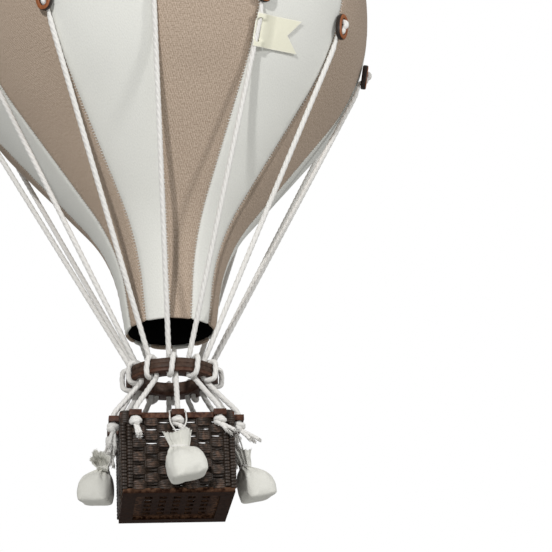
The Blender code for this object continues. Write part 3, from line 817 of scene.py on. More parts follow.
# Ropes
# Twelve lengths of 4 mm cotton rope, three strands twisted. Each is drawn up through its toggle, runs
# taut and straight from the sphere to the load ring, turns once round the ring's outer part through a
# slot, and is knotted below its bracket on the basket, where the cut end frays.
ROPE = 0.002
ROPE_LAY = 0.016
ROPE_STANDOFF = ROPE + 0.0005
ROPE_START = 0.0135
TAG_ROPE = 1
TAG_LIFT = 0.0013
BASKET_TURN = radians(3.5)
BASKET_HALF = 0.040
BRACKET_PITCH = 0.0295
HOLE_FROM_RIM = 0.0044
RIM_TOP = -0.074
RIM_HEIGHT = 0.004
TAIL_STRAND = 0.00122
TAIL_LAY = 0.009
TAIL_FIBRES = 60
TAIL_FIBRE = 0.00016

# The end in the toggle, from the toggle's middle, as (up the seam, outwards, thickness factor)
ROPE_END = (
    (0.0046, 0.0012, 0.80),
    (0.0046, 0.0040, 0.95),
    (0.0032, 0.0068, 1.12),
    (0.0010, 0.0072, 1.10),
    (-0.0006, 0.0056, 0.92),
    (-0.0026, 0.0060, 1.12),
    (-0.0046, 0.0042, 1.00),
    (-0.0054, 0.0020, 0.70),
    (-0.0075, 0.0018, 0.60),
    (-0.0100, 0.0019, 0.65),
)

# The hitch on the load ring, as (radius, height, sideways)
HITCH = (
    (0.0285, -0.0272, -0.0022),
    (0.0271, -0.0302, -0.0023),
    (0.0270, -0.0395, -0.0023),
    (0.0284, -0.0421, -0.0020),
    (0.0322, -0.0425, -0.0013),
    (0.0352, -0.0412, -0.0007),
    (0.0360, -0.0380, -0.0003),
    (0.0360, -0.0325, 0.0005),
    (0.0352, -0.0292, 0.0010),
    (0.0322, -0.0280, 0.0016),
    (0.0284, -0.0284, 0.0021),
    (0.0270, -0.0310, 0.0024),
    (0.0270, -0.0400, 0.0024),
    (0.0276, -0.0430, 0.0024),
)


def side_angle(side):
    """Where a side of the basket faces: it hangs a little turned from the load ring."""
    return side * pi / 2 + BASKET_TURN


def bracket_point(index, height):
    """The axis of a rope's hole in its bracket: three brackets to each side of the basket."""
    side = round(index / 3)
    return around(side_angle(side), BASKET_HALF + HOLE_FROM_RIM, height, (index - 3 * side) * BRACKET_PITCH)


def rope_line(index):
    """A rope's knots from the toggle to the bracket."""
    angle = seam_angle(index)
    here = surface_frame(angle, TOGGLE_HEIGHT)
    line = [(here @ Vector((0.0, along, out)), factor) for along, out, factor in ROPE_END]
    start = asin((TOGGLE_HEIGHT - SPHERE_HEIGHT) / ENVELOPE_RADIUS) - ROPE_START / ENVELOPE_RADIUS
    reach = ENVELOPE_RADIUS + ROPE_STANDOFF + (TAG_LIFT if index == TAG_ROPE else 0.0)
    radius, height, _ = HITCH[0]
    drop = SPHERE_HEIGHT - height
    leave = acos(reach / hypot(radius, drop)) - atan2(drop, radius)
    for step in range(1, 5):
        lean = start + (leave - start) * step / 4
        line.append((around(angle, reach * cos(lean), SPHERE_HEIGHT + reach * sin(lean)), 1.0))
    touch, first = line[-1][0], around(index * GORE_ANGLE, *HITCH[0])
    for share in (0.02, 0.5, 0.98):
        line.append((touch.lerp(first, share), 1.0))
    line += [(around(index * GORE_ANGLE, *point), 1.0) for point in HITCH]
    last, hole = line[-1][0], bracket_point(index, RIM_TOP + ROPE)
    for share in (0.06, 0.5, 0.94):
        line.append((last.lerp(hole, share), 1.0))
    return line


def knot_line(index, turn):
    """A ball knot drawn up against the bracket: the rope wound once and a half round itself."""
    below = RIM_TOP - RIM_HEIGHT
    centre = bracket_point(index, 0.0)
    line = [(bracket_point(index, RIM_TOP), 0.95), (bracket_point(index, below), 0.95)]
    for step in range(13):
        angle = turn + 3 * pi * step / 12
        swell = 0.0027 * min(1.0, 0.55 + step * 0.2) * (1.0 - 0.25 * (step == 12))
        depth = below - 0.0019 - 0.0030 * step / 12
        wound = Vector((centre.x + swell * cos(angle), centre.y + swell * sin(angle), depth + MOUTH))
        line.append((wound, 1.05))
    line.append((Vector((centre.x, centre.y, below - 0.0066 + MOUTH)), 1.0))
    return line


def side_axes(index):
    """Across and outward directions of the basket's side that a rope hangs on."""
    facing = side_angle(round(index / 3))
    return Vector((cos(facing), sin(facing), 0.0)), Vector((sin(facing), -cos(facing), 0.0))


# Tails below the knots, as (sideways lean, outward lean, length, how far the strands part)
TAILS = (
    (1.10, 0.20, 0.0060, 0.5),
    (1.50, 0.25, 0.0085, 1.2),
    (0.10, 1.70, 0.0115, 1.0),
    (0.10, 0.20, 0.0080, 1.0),
    (-0.20, 0.20, 0.0070, 0.9),
    (0.35, 0.10, 0.0080, 0.7),
    (-0.15, 0.25, 0.0065, 1.1),
    (0.20, 0.20, 0.0075, 0.8),
    (0.45, 0.15, 0.0070, 1.0),
    (0.30, 0.20, 0.0080, 0.9),
    (-0.25, 0.15, 0.0090, 0.8),
    (0.30, 0.10, 0.0062, 0.4),
)


def tail_lines(index):
    """Three strands that part below the knot, and the fibres that fan out of their ends."""
    lean, outward, length, part = TAILS[index]
    across, out = side_axes(index)
    draw = random.Random(100 + index)
    start = bracket_point(index, RIM_TOP - RIM_HEIGHT - 0.0060)
    main = (Vector((0.0, 0.0, -1.0)) + across * lean + out * outward).normalized()
    strands, fibres = [], []
    for strand in range(3):
        turn = 2 * pi * (strand + draw.random() * 0.3) / 3
        spread = across * cos(turn) + out * sin(turn)
        reach = length * draw.uniform(0.85, 1.1)
        line = []
        for step in range(7):
            share = step / 6
            apart = 0.00105 + part * 0.0020 * share**1.5
            droop = Vector((0.0, 0.0, -0.0012)) * share**2
            line.append((start + main * reach * share + spread * apart + droop, 1.0 + 0.15 * share))
        strands.append(rounded(line, 0.0006))
        tip, way = line[-1][0], (line[-1][0] - line[-3][0]).normalized()
        for _ in range(TAIL_FIBRES):
            fan = Vector((draw.gauss(0, 1), draw.gauss(0, 1), draw.gauss(0, 1)))
            fan = (way + fan * 0.30).normalized()
            root = tip + Vector((draw.uniform(-1, 1), draw.uniform(-1, 1), draw.uniform(-1, 1))) * 0.0009
            run = draw.uniform(0.0006, 0.0022)
            bend = Vector((0.0, 0.0, -0.0004)) * draw.random()
            fibres.append([
                (root - way * 0.0015, 1.0),
                (root, 1.0),
                (root + fan * run * 0.5 + bend * 0.3, 0.9),
                (root + fan * run + bend, 0.5),
            ])
    return strands, fibres


def fibre_shaper():
    """A round thread along a curve, thicker or thinner by the curve's own radius."""
    shaper = Shaper("threads", Radius="Float", Sides="Int", Finish="Material")
    section = shaper.node(
        "GeometryNodeCurvePrimitiveCircle", {},
        resolution=shaper.given("Sides"), radius=shaper.given("Radius"),
    )
    swept = shaper.node(
        "GeometryNodeCurveToMesh", {}, curve=shaper.given("Geometry"), profile_curve=section,
        scale=shaper.node("GeometryNodeInputRadius"), fill_caps=True,
    )
    shaper.end(swept)
    return shaper


threads = fibre_shaper()
for index in range(GORES):
    number = f"{index + 1:02d}"
    line = rounded(rope_line(index) + knot_line(index, 0.8 * index), 0.0010)
    mesh = twist.grow(
        f"rope_twist_{number}", line_curve("rope_line", [line]),
        Radius=ROPE, Lay=ROPE_LAY, Step=0.0010, Finish=rope_finish.material,
    )
    rope = add_piece(f"rope_twist_{number}", mesh, rope_finish)
    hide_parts(f"rope_{number}")
    strands, fibres = tail_lines(index)
    mesh = twist.grow(
        f"rope_strands_{number}", line_curve("strand_line", strands),
        Radius=TAIL_STRAND, Lay=TAIL_LAY, Step=0.0006, Finish=rope_finish.material,
    )
    add_piece(f"rope_strands_{number}", mesh, rope_finish)
    mesh = threads.grow(
        f"rope_fibres_{number}", line_curve("fibre_line", fibres),
        Radius=TAIL_FIBRE, Sides=3, Finish=rope_finish.material,
    )
    add_piece(f"rope_fibres_{number}", mesh, rope_finish)


# Load ring
# A flat ring of stained wood in three glued layers, which show as two fine lines round its outer face.
# Twelve slots are cut through it for the ropes' hitches, and its edges are worn to a lighter brown.
RING_OUTER = 0.0335
RING_INNER = 0.0206
RING_TOP = -0.0306
RING_BOTTOM = -0.0400
RING_GROOVES = (0.39, 0.75)
RING_GROOVE = 0.0004
RING_SIDES = 144
SLOT_RADIUS = 0.0270
SLOT_LENGTH = 0.0093
SLOT_WIDTH = 0.0049


def stained(name, dark, light, worn, scale, axis, lower=None, gloss=0.18):
    """Stained wood with grain along an axis, and a paler tone where the attribute worn says so.

    lower is a height and a tone for a layer of another wood below it.
    """
    roughness = 0.48
    finish = Finish(name, roughness, Coat_Weight=0.02, Coat_Roughness=0.35, Specular_IOR_Level=gloss)
    place = finish.place()
    stretch = tuple(0.07 if component == axis else 1.0 for component in range(3))
    grain = finish.cloud(finish.stretched(place, stretch), scale, 4.0, 0.65)
    pores = finish.step(finish.cloud(finish.stretched(place, stretch), scale * 3.2, 2.0), 0.58, 0.76)
    blotch = finish.cloud(place, 60.0, 2.0)
    tone = finish.between(grain * 0.6 + blotch * 0.3, dark, light)
    if lower:
        height = finish.node("ShaderNodeSeparateXYZ", {}, place).output("Z")
        tone = finish.between(1 - finish.step(height, lower[0] - 0.0002, lower[0] + 0.0002), tone, lower[1])
    tone = finish.between(pores * 0.3, tone, tuple(0.5 * value for value in dark))
    # Painted shade: near black where the attribute inside is set.
    tone = finish.between(finish.attribute("inside"), tone, (0.0025, 0.0018, 0.0015))
    wear = finish.attribute("worn") * finish.step(finish.cloud(place, 420.0, 3.0), 0.30, 0.70)
    finish.set("Base Color", finish.between(wear, tone, worn))
    finish.set("Roughness", grain * 0.22 + roughness - 0.08)
    finish.relief(grain * 0.6 - pores * 0.4, 0.00005)
    return finish


def mark_worn(mesh, reach):
    """Mark the vertices that stand within a distance of a sharp edge as worn."""
    work = bmesh.new()
    work.from_mesh(mesh)
    layer = work.verts.layers.float.get("worn") or work.verts.layers.float.new("worn")
    for vertex in work.verts:
        turn = max((edge.calc_face_angle(0.0) for edge in vertex.link_edges), default=0.0)
        vertex[layer] = min(1.0, turn / reach)
    work.to_mesh(mesh)
    work.free()


def settled(name, mesh, *steps):
    """The mesh after its modifiers, as a plain mesh."""
    work = bpy.data.objects.new(name, mesh)
    bpy.context.scene.collection.objects.link(work)
    for kind, settings in steps:
        modifier = work.modifiers.new(kind.lower(), kind)
        for key, value in settings.items():
            setattr(modifier, key, value)
    depsgraph = bpy.context.evaluated_depsgraph_get()
    result = bpy.data.meshes.new_from_object(work.evaluated_get(depsgraph))
    bpy.data.objects.remove(work)
    result.name = name
    return result


def helper(name, build):
    """A shape that only cuts another."""
    work = bmesh.new()
    build(work)
    bmesh.ops.recalc_face_normals(work, faces=work.faces)
    cutter = bpy.data.objects.new(name, to_mesh(name, work))
    bpy.context.scene.collection.objects.link(cutter)
    return cutter


ring_height = RING_TOP - RING_BOTTOM
ring_profile = [(RING_INNER, RING_BOTTOM), (RING_INNER, RING_TOP), (RING_OUTER, RING_TOP)]
for share in RING_GROOVES:
    line_height = RING_TOP - share * ring_height
    ring_profile.append((RING_OUTER, line_height + RING_GROOVE))
    ring_profile.append((RING_OUTER - 0.0005, line_height))
    ring_profile.append((RING_OUTER, line_height - RING_GROOVE))
ring_profile.append((RING_OUTER, RING_BOTTOM))
ring_turns = [2 * pi * step / RING_SIDES for step in range(RING_SIDES)]
ring_sections = [[around(turn, *point) for point in ring_profile] for turn in ring_turns]
ring_body = helper("ring_body", lambda work: add_rings(work, ring_sections, closed=True))


def add_slots(work):
    """Round-ended slots through the ring."""
    for index in range(GORES):
        outline = []
        for step in range(24):
            turn = 2 * pi * step / 24
            outline.append((
                rounded_power(cos(turn), 4.5) * SLOT_LENGTH / 2,
                SLOT_RADIUS + rounded_power(sin(turn), 4.5) * SLOT_WIDTH / 2,
            ))
        angle = index * GORE_ANGLE
        ends = [RING_BOTTOM - 0.003, RING_TOP + 0.003]
        sections = [[around(angle, out, end, side) for side, out in outline] for end in ends]
        low, high = add_rings(work, sections)
        work.faces.new(low)
        work.faces.new(reversed(high))


slot_cutter = helper("slot_cutter", add_slots)
ring_finish = stained(
    "stained_ring", (0.022, 0.012, 0.008), (0.080, 0.047, 0.033), (0.16, 0.095, 0.065), 260.0, 0,
    lower=(MOUTH + RING_TOP - RING_GROOVES[1] * ring_height, (0.060, 0.022, 0.012)),
)
ring_mesh = settled(
    "ring_wood", ring_body.data,
    ("BOOLEAN", {"operation": "DIFFERENCE", "object": slot_cutter}),
    ("BEVEL", {"width": 0.0005, "segments": 2, "limit_method": "ANGLE", "angle_limit": radians(50)}),
)
for cutter in (ring_body, slot_cutter):
    bpy.data.objects.remove(cutter)
mark_worn(ring_mesh, radians(50))
ring = add_piece("ring_wood", ring_mesh, ring_finish, smooth=35)
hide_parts("load_ring")


# Basket rim
# A square frame of stained wood with three drilled brackets to a side, their edges rubbed pale. Rattan
# is bound round each corner, over the joint of the frame and the post below it.
RIM_WIDTH = 0.006
BRACKET_WIDTH = 0.0088
BRACKET_PROUD = 0.0076
BRACKET_HOLE = 0.0024


def add_prism(work, outline, low, high):
    """A straight prism on an outline of (x, y) points, between two heights."""
    lower, upper = add_rings(work, [[(x, y, height + MOUTH) for x, y in outline] for height in (low, high)])
    work.faces.new(reversed(lower))
    work.faces.new(upper)


def rim_body_shape(work):
    outline = []
    for side in range(4):
        for slot in (-1, 0, 1):
            for reach, edge in ((0.0, -1), (BRACKET_PROUD, -1), (BRACKET_PROUD, 1), (0.0, 1)):
                across = slot * BRACKET_PITCH + edge * BRACKET_WIDTH / 2
                outline.append(around(side_angle(side), BASKET_HALF + reach, 0.0, across).xy)
        outline.append(around(side_angle(side), BASKET_HALF, 0.0, BASKET_HALF).xy)
    add_prism(work, outline, RIM_TOP - RIM_HEIGHT, RIM_TOP)


def square(half, across=0.0, along=0.0):
    """A square in the basket's plan."""
    return [around(BASKET_TURN, -along - half * y, 0.0, across + half * x).xy for x, y in SQUARE]


def rim_cutter_shape(work):
    add_prism(work, square(BASKET_HALF - RIM_WIDTH), RIM_TOP - 0.006, RIM_TOP + 0.002)
    for index in range(GORES):
        centre = bracket_point(index, RIM_TOP - RIM_HEIGHT / 2)
        bmesh.ops.create_cone(
            work, cap_ends=True, segments=28, radius1=BRACKET_HOLE, radius2=BRACKET_HOLE, depth=0.012,
            matrix=Matrix.Translation(centre),
        )


basket_finish = stained(
    "stained_basket", (0.030, 0.0095, 0.0055), (0.054, 0.018, 0.010), (0.14, 0.062, 0.034), 210.0, 0
)
rim_body, rim_cutter = helper("rim_body", rim_body_shape), helper("rim_cutter", rim_cutter_shape)
rim_mesh = settled(
    "rim_wood", rim_body.data,
    ("BOOLEAN", {"operation": "DIFFERENCE", "object": rim_cutter}),
    ("BEVEL", {"width": 0.00055, "segments": 3, "limit_method": "ANGLE", "angle_limit": radians(40)}),
)
for cutter in (rim_body, rim_cutter):
    bpy.data.objects.remove(cutter)
mark_worn(rim_mesh, radians(40))
rim = add_piece("rim_wood", rim_mesh, basket_finish, smooth=35)
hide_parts("basket_rim")


# Woven walls and corners
# Bands of four stained rattan strands stand out as a barrel in one column and part round a slit in the
# next, turned about from band to band. Each corner is bound closely round its post.
BASE_BOTTOM = -0.132
BASE_THICKNESS = 0.0035
WEAVE_COLUMNS = 7
WEAVE_ROWS = 10
CORNER_WIDTH = 0.008
WALL_MIDDLE = 0.0379
WEAVE_DEPTH = 0.0012
STRANDS = 4
STRAND_WIDTH = 0.0018
STRAND_THICKNESS = 0.0011
STAKE = 0.0007
BINDING_WIDTH = 0.0021
BINDING_THICKNESS = 0.0008
BINDING_PITCH = 0.0023
SIDES = ("front", "right", "back", "left")

rattan = Finish("stained_rattan", 0.45, Coat_Weight=0.08, Coat_Roughness=0.30, Specular_IOR_Level=0.35)
rattan_place = rattan.place()
fibre = rattan.cloud(rattan.stretched(rattan_place, (0.25, 0.25, 1.6)), 1500.0, 3.0)
patchy = rattan.cloud(rattan_place, 140.0, 3.0)
strand_tone = fibre * 0.6 + patchy * 0.7 - 0.15
rattan_tone = rattan.between(strand_tone, (0.006, 0.004, 0.0030), (0.050, 0.032, 0.021))
# Proud parts of the strands are painted paler: partly real wear, partly painted highlight.
rubbed_and_highlight = rattan.attribute("proud") ** 2.0 * rattan.step(rattan.cloud(rattan_place, 380.0, 3.0), 0.42, 0.68)
rattan.set("Base Color", rattan.between(rubbed_and_highlight * 0.70, rattan_tone, (0.160, 0.095, 0.065)))
rattan.set("Roughness", fibre * 0.25 + 0.38)
rattan.relief(fibre, 0.00015)


def strip_shaper():
    """A flat-sided strand with rounded edges along a curve, its flat side kept upright."""
    shaper = Shaper("rattan_strands", Width="Float", Thickness="Float", Finish="Material")
    upright = shaper.node("GeometryNodeSetCurveNormal", {"mode": "Z_UP"}, curve=shaper.given("Geometry"))
    circle = shaper.node("GeometryNodeCurvePrimitiveCircle", {}, resolution=10, radius=0.5)
    spot = shaper.node("ShaderNodeSeparateXYZ", {}, shaper.node("GeometryNodeInputPosition"))
    flat = shaper.node(
        "GeometryNodeSetPosition", {}, geometry=circle,
        position=shaper.node(
            "ShaderNodeCombineXYZ", {}, spot.output("X") * shaper.given("Thickness"),
            spot.output("Y") * shaper.given("Width"), 0.0,
        ),
    )
    marked = shaper.node(
        "GeometryNodeStoreNamedAttribute", {"data_type": "FLOAT"}, geometry=upright, name="proud",
        value=shaper.node("GeometryNodeInputRadius"),
    )
    swept = shaper.node("GeometryNodeCurveToMesh", {}, curve=marked, profile_curve=flat, fill_caps=True)
    shaper.end(swept)
    return shaper


strips = strip_shaper()
wall_low = BASE_BOTTOM + BASE_THICKNESS
wall_high = RIM_TOP - RIM_HEIGHT
band = (wall_high - wall_low) / WEAVE_ROWS
half_wall = BASKET_HALF - CORNER_WIDTH + 0.0012
stake_pitch = 2 * (BASKET_HALF - CORNER_WIDTH) / WEAVE_COLUMNS


def strand_lines(side):
    """The strands of one wall, with how far each point stands out as its thickness factor."""
    draw = random.Random(30 + side)
    lines = []
    for row in range(WEAVE_ROWS):
        middle = wall_low + (row + 0.5) * band
        start = draw.uniform(-0.0002, 0.0002)
        for strand in range(STRANDS):
            offset = strand - (STRANDS - 1) / 2
            slip = draw.uniform(-0.00012, 0.00012)
            line = []
            for step in range(WEAVE_COLUMNS * 12 + 1):
                along = -half_wall + 2 * half_wall * step / (WEAVE_COLUMNS * 12)
                wave = cos(pi * along / stake_pitch + pi * (row + 1))
                swing = (1 if wave > 0 else -1) * abs(wave) ** 0.45
                fan = 0.00112 + 0.00052 * max(0.0, swing)
                parting = 0.00062 * max(0.0, -swing) * (1 if offset > 0 else -1)
                crown_out = 0.00045 * abs(swing) * (1 - abs(offset) / 2)
                depth = WALL_MIDDLE + swing * (WEAVE_DEPTH + crown_out)
                height = middle + offset * fan + parting + slip + start * max(0.0, swing)
                line.append((around(side_angle(side), depth, height, along), max(0.0, swing)))
            lines.append(line)
    return lines


def stake_lines(side):
    """The upright stakes between the columns, where the strands change sides."""
    lines = []
    for column in range(WEAVE_COLUMNS + 1):
        along = (column - WEAVE_COLUMNS / 2) * stake_pitch
        ends = [wall_low - 0.0005, wall_high + 0.0005]
        lines.append([(around(side_angle(side), WALL_MIDDLE, height, along), 1.0) for height in ends])
    return lines


for side, name in enumerate(SIDES):
    mesh = strips.grow(
        f"weave_{name}", line_curve("strand_line", strand_lines(side)),
        Width=STRAND_WIDTH, Thickness=STRAND_THICKNESS, Finish=rattan.material,
    )
    weave = add_piece(f"weave_{name}", mesh, rattan)
    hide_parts(f"wall_{name}")
    mesh = threads.grow(
        f"stakes_{name}", line_curve("stake_line", stake_lines(side)),
        Radius=STAKE, Sides=8, Finish=rattan.material,
    )
    add_piece(f"stakes_{name}", mesh, rattan)


def binding_lines(corner):
    """Turns of rattan round a corner's three posts, and the thicker binding over the rim's corner."""
    draw = random.Random(60 + corner)
    lines = []
    far = BASKET_HALF - 0.0022
    near = far - 0.0042
    for across, out, shift in ((far, far, 0.0), (near, far, 0.5), (far, near, 0.5)):
        turns = int((wall_high - wall_low) / BINDING_PITCH)
        for turn in range(turns):
            height = wall_low + (turn + 0.25 + shift) * BINDING_PITCH + draw.uniform(-0.0001, 0.0001)
            if height > wall_high - 0.0006:
                continue
            lines.append(bound(corner, across, out, height, 0.0019, 0.0019, draw))
    for turn in range(6):
        height = RIM_TOP + 0.0006 - turn * 0.0014
        swell = 0.0008 * sin(pi * (turn + 0.5) / 6)
        lines.append(bound(corner, far - 0.0022, far - 0.0022, height, 0.0041 + swell, 0.0041 + swell, draw))
    return lines


def bound(corner, across, out, height, half_across, half_out, draw):
    """One closed turn of a strand about an upright post."""
    lean = draw.uniform(-0.0003, 0.0003)
    line = []
    for step in range(21):
        turn = 2 * pi * step / 20
        side = across + half_across * rounded_power(cos(turn), 2.8)
        reach = out + half_out * rounded_power(sin(turn), 2.8)
        proud = max(0.0, (side + reach - across - out) / (half_across + half_out))
        line.append((around(side_angle(corner), reach, height + lean * cos(turn), side), 0.7 * proud))
    return line


for corner in range(4):
    mesh = strips.grow(
        f"corner_binding_{corner + 1}", line_curve("binding_line", binding_lines(corner)),
        Width=BINDING_WIDTH, Thickness=BINDING_THICKNESS, Finish=rattan.material,
    )
    binding = add_piece(f"corner_binding_{corner + 1}", mesh, rattan)
    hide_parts(f"corner_{corner + 1}")


# Basket base
# A square board of the same stained wood as the rim. Its underside has a panel sunk inside a flat
# border, and square holes right through the panel in five rows of five.
BASE_HALF = 0.0388
BASE_BORDER = 0.0093
BASE_RECESS = 0.002
FLOOR_HOLES = 5
FLOOR_HOLE = 0.0053
FLOOR_PITCH = 0.010
RECESS_HALF = BASE_HALF - BASE_BORDER


def holes_shape(work):
    for row in range(FLOOR_HOLES):
        for column in range(FLOOR_HOLES):
            x, y = ((place - (FLOOR_HOLES - 1) / 2) * FLOOR_PITCH for place in (column, row))
            add_prism(work, square(FLOOR_HOLE / 2, x, y), BASE_BOTTOM - 0.003, BASE_BOTTOM + 0.008)


base_body = helper("base_body", lambda work: add_prism(
    work, square(BASE_HALF), BASE_BOTTOM, BASE_BOTTOM + BASE_THICKNESS
))
recess_cutter = helper("recess_cutter", lambda work: add_prism(
    work, square(RECESS_HALF), BASE_BOTTOM - 0.002, BASE_BOTTOM + BASE_RECESS
))
hole_cutter = helper("hole_cutter", holes_shape)
base_mesh = settled(
    "base_wood", base_body.data,
    ("BOOLEAN", {"operation": "DIFFERENCE", "object": recess_cutter}),
    ("BOOLEAN", {"operation": "DIFFERENCE", "object": hole_cutter}),
    ("BEVEL", {"width": 0.0004, "segments": 2, "limit_method": "ANGLE", "angle_limit": radians(40)}),
)
for cutter in (base_body, recess_cutter, hole_cutter):
    bpy.data.objects.remove(cutter)
mark_worn(base_mesh, radians(60))
worn = base_mesh.attributes["worn"]
# The holes' walls and the board's upper face over the panel are marked inside, for painted shade: near
# black.
inside = base_mesh.attributes.new("inside", "FLOAT", "POINT")
for vertex in base_mesh.vertices:
    flat = Matrix.Rotation(-BASKET_TURN, 3, "Z") @ vertex.co
    within = max(abs(flat.x), abs(flat.y)) < RECESS_HALF - 0.001
    height = vertex.co.z - MOUTH - BASE_BOTTOM
    inside.data[vertex.index].value = float(within and height > BASE_RECESS + 0.001)
    if height < 0.0001 or (within and height < BASE_RECESS + 0.0001):
        worn.data[vertex.index].value = 0.1
# The same stain as the rim, coloured darker: painted shade for the board's downward faces.
base_shaded_finish = stained(
    "stained_base", (0.011, 0.0036, 0.0018), (0.023, 0.0080, 0.0040), (0.17, 0.090, 0.052), 210.0, 0,
    gloss=0.02,
)
base = add_piece("base_wood", base_mesh, base_shaded_finish, smooth=35)
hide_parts("basket_base")


# Sandbags
# Four small boxy bags of plain off-white cotton, filled and gathered at the neck by a turn of thread.
# The cloth above the neck stands up as a frill with a raw edge. Each hangs from its bracket on a string.
STRING = 0.0006
PIVOT_OUT = 0.0405
PIVOT_HEIGHT = RIM_TOP + 0.0003 + STRING
BAG_AROUND = 72
BAG_STEP = 0.0009
BAG_CLOTH = 0.0004
BAG_FRINGE = 0.00012
STRING_LAY = 0.004
STRING_STEP = 0.0006
FILLING_SCALE = 20
FILLING_FRAMES = 20
FILLING_LIMIT = 0.0012

# Sections from the bottom up, as (height, out from the axis, half width, half depth, squareness, folds)
BAG_SECTIONS = (
    (-0.1264, 0.0552, 0.0116, 0.0102, 4.5, 0.00),
    (-0.1256, 0.0552, 0.0125, 0.0109, 4.5, 0.01),
    (-0.1195, 0.0552, 0.0133, 0.0114, 4.0, 0.01),
    (-0.1140, 0.0549, 0.0128, 0.0110, 3.2, 0.04),
    (-0.1095, 0.0540, 0.0112, 0.0094, 2.6, 0.11),
    (-0.1060, 0.0525, 0.0086, 0.0066, 2.2, 0.18),
    (-0.1040, 0.0512, 0.0066, 0.0042, 2.0, 0.20),
    (-0.1030, 0.0508, 0.0060, 0.0036, 2.0, 0.20),
    (-0.1015, 0.0508, 0.0066, 0.0040, 2.0, 0.18),
    (-0.0980, 0.0508, 0.0078, 0.0046, 2.0, 0.14),
    (-0.0945, 0.0509, 0.0088, 0.0056, 2.0, 0.14),
    (-0.0922, 0.0510, 0.0094, 0.0064, 2.0, 0.15),
)
BAG_NECK = (0.0508, -0.1030)

# One leg of a string from the bag up over its bracket, as (from the middle, out from the axis, height)
STRING_LEG = (
    (0.0016, 0.0500, -0.0922),
    (0.0056, 0.0470, -0.0830),
    (0.0056, 0.0445, -0.0765),
    (0.0056, PIVOT_OUT + 0.0004, PIVOT_HEIGHT - 0.0003),
    (0.0053, PIVOT_OUT, PIVOT_HEIGHT),
)

# How each bag hangs below its neck, as (lean to the side, turn, lean outwards, how full), and how its
# frill leans above the neck, as (to the side, outwards)
BAG_HANG = (
    (radians(16), radians(6), 0.0, 1.0),
    (radians(5), radians(15), radians(12), 1.0),
    (radians(-3), radians(-8), radians(-6), 0.86),
    (radians(-6), radians(-16), radians(3), 1.0),
)
FRILL_LEAN = (
    (radians(-8), radians(14)),
    (radians(0), radians(-12)),
    (radians(5), radians(6)),
    (radians(62), radians(22)),
)

bag_finish = Finish("plain_cotton", 0.95, Sheen_Weight=0.05, Specular_IOR_Level=0.25)
cotton_place = bag_finish.place()
slub = bag_finish.cloud(cotton_place, 1100.0, 3.0)
stain = bag_finish.cloud(cotton_place, 70.0, 2.0)
cotton_tone = bag_finish.between(slub * 0.5 + stain * 0.5, (0.66, 0.65, 0.585), (0.82, 0.815, 0.765))
bag_finish.set("Base Color", cotton_tone)
bag_finish.relief(slub, 0.00016)


def bag_size(height, column):
    """A column of the sections' table at a height between its rows."""
    table = np.array(BAG_SECTIONS)
    return float(np.interp(height, table[:, 0], table[:, column]))


def bag_point(side, height, x, y):
    """A point of a bag, given across and inwards from the middle of its section."""
    neck = Vector((0.0, -BAG_NECK[0], BAG_NECK[1] + MOUTH))
    middle = Vector((0.0, -bag_size(height, 1), height + MOUTH))
    below = min(1.0, max(0.0, (BAG_NECK[1] - height) / 0.004))
    above = min(1.0, max(0.0, (height - BAG_NECK[1]) / 0.006))
    lean, turn, outwards, full = BAG_HANG[side]
    frill_lean, frill_out = FRILL_LEAN[side]
    offset = middle - neck + Matrix.Rotation(below * turn, 3, "Z") @ Vector((x, y, 0.0))
    offset.z *= 1 - below * (1 - full)
    askew = Matrix.Rotation(above * frill_lean - below * lean, 3, "Y")
    tipped = Matrix.Rotation(above * frill_out - below * outwards, 3, "X")
    return Matrix.Rotation(side_angle(side), 3, "Z") @ (neck + tipped @ askew @ offset)


def bag_mesh(side, name):
    """A gathered bag skin, open at its frill."""
    draw = random.Random(200 + side)
    phases = [draw.uniform(0, 2 * pi) for _ in range(3)]
    lowest, highest = BAG_SECTIONS[0][0], BAG_SECTIONS[-1][0]
    levels = [(lowest, shrink) for shrink in (0.06, 0.3, 0.55, 0.8)]
    steps = round((highest - lowest) / BAG_STEP)
    levels += [(lowest + (highest - lowest) * step / steps, 1.0) for step in range(steps + 1)]
    sections = []
    for height, shrink in levels:
        width, depth, power, folds = (bag_size(height, column) for column in range(2, 6))
        loop = []
        for step in range(BAG_AROUND):
            turn = 2 * pi * step / BAG_AROUND
            ripple = sin(6 * turn + phases[0]) * 0.55 + sin(11 * turn + phases[1]) * 0.45
            swell = shrink * (1 + folds * ripple)
            x = rounded_power(cos(turn), power) * width * swell
            y = rounded_power(sin(turn), power) * depth * swell
            edge = 1.0 + 0.08 * sin(3 * turn + phases[2]) + 0.04 * sin(17 * turn + phases[0])
            rise = max(0.0, height - BAG_NECK[1]) * (edge - 1.0)
            loop.append(bag_point(side, height, x, y) + Vector((0.0, 0.0, rise)))
        sections.append(loop)
    work = bmesh.new()
    work.faces.new(reversed(add_rings(work, sections)[0]))
    bmesh.ops.recalc_face_normals(work, faces=work.faces)
    return to_mesh(name, work)


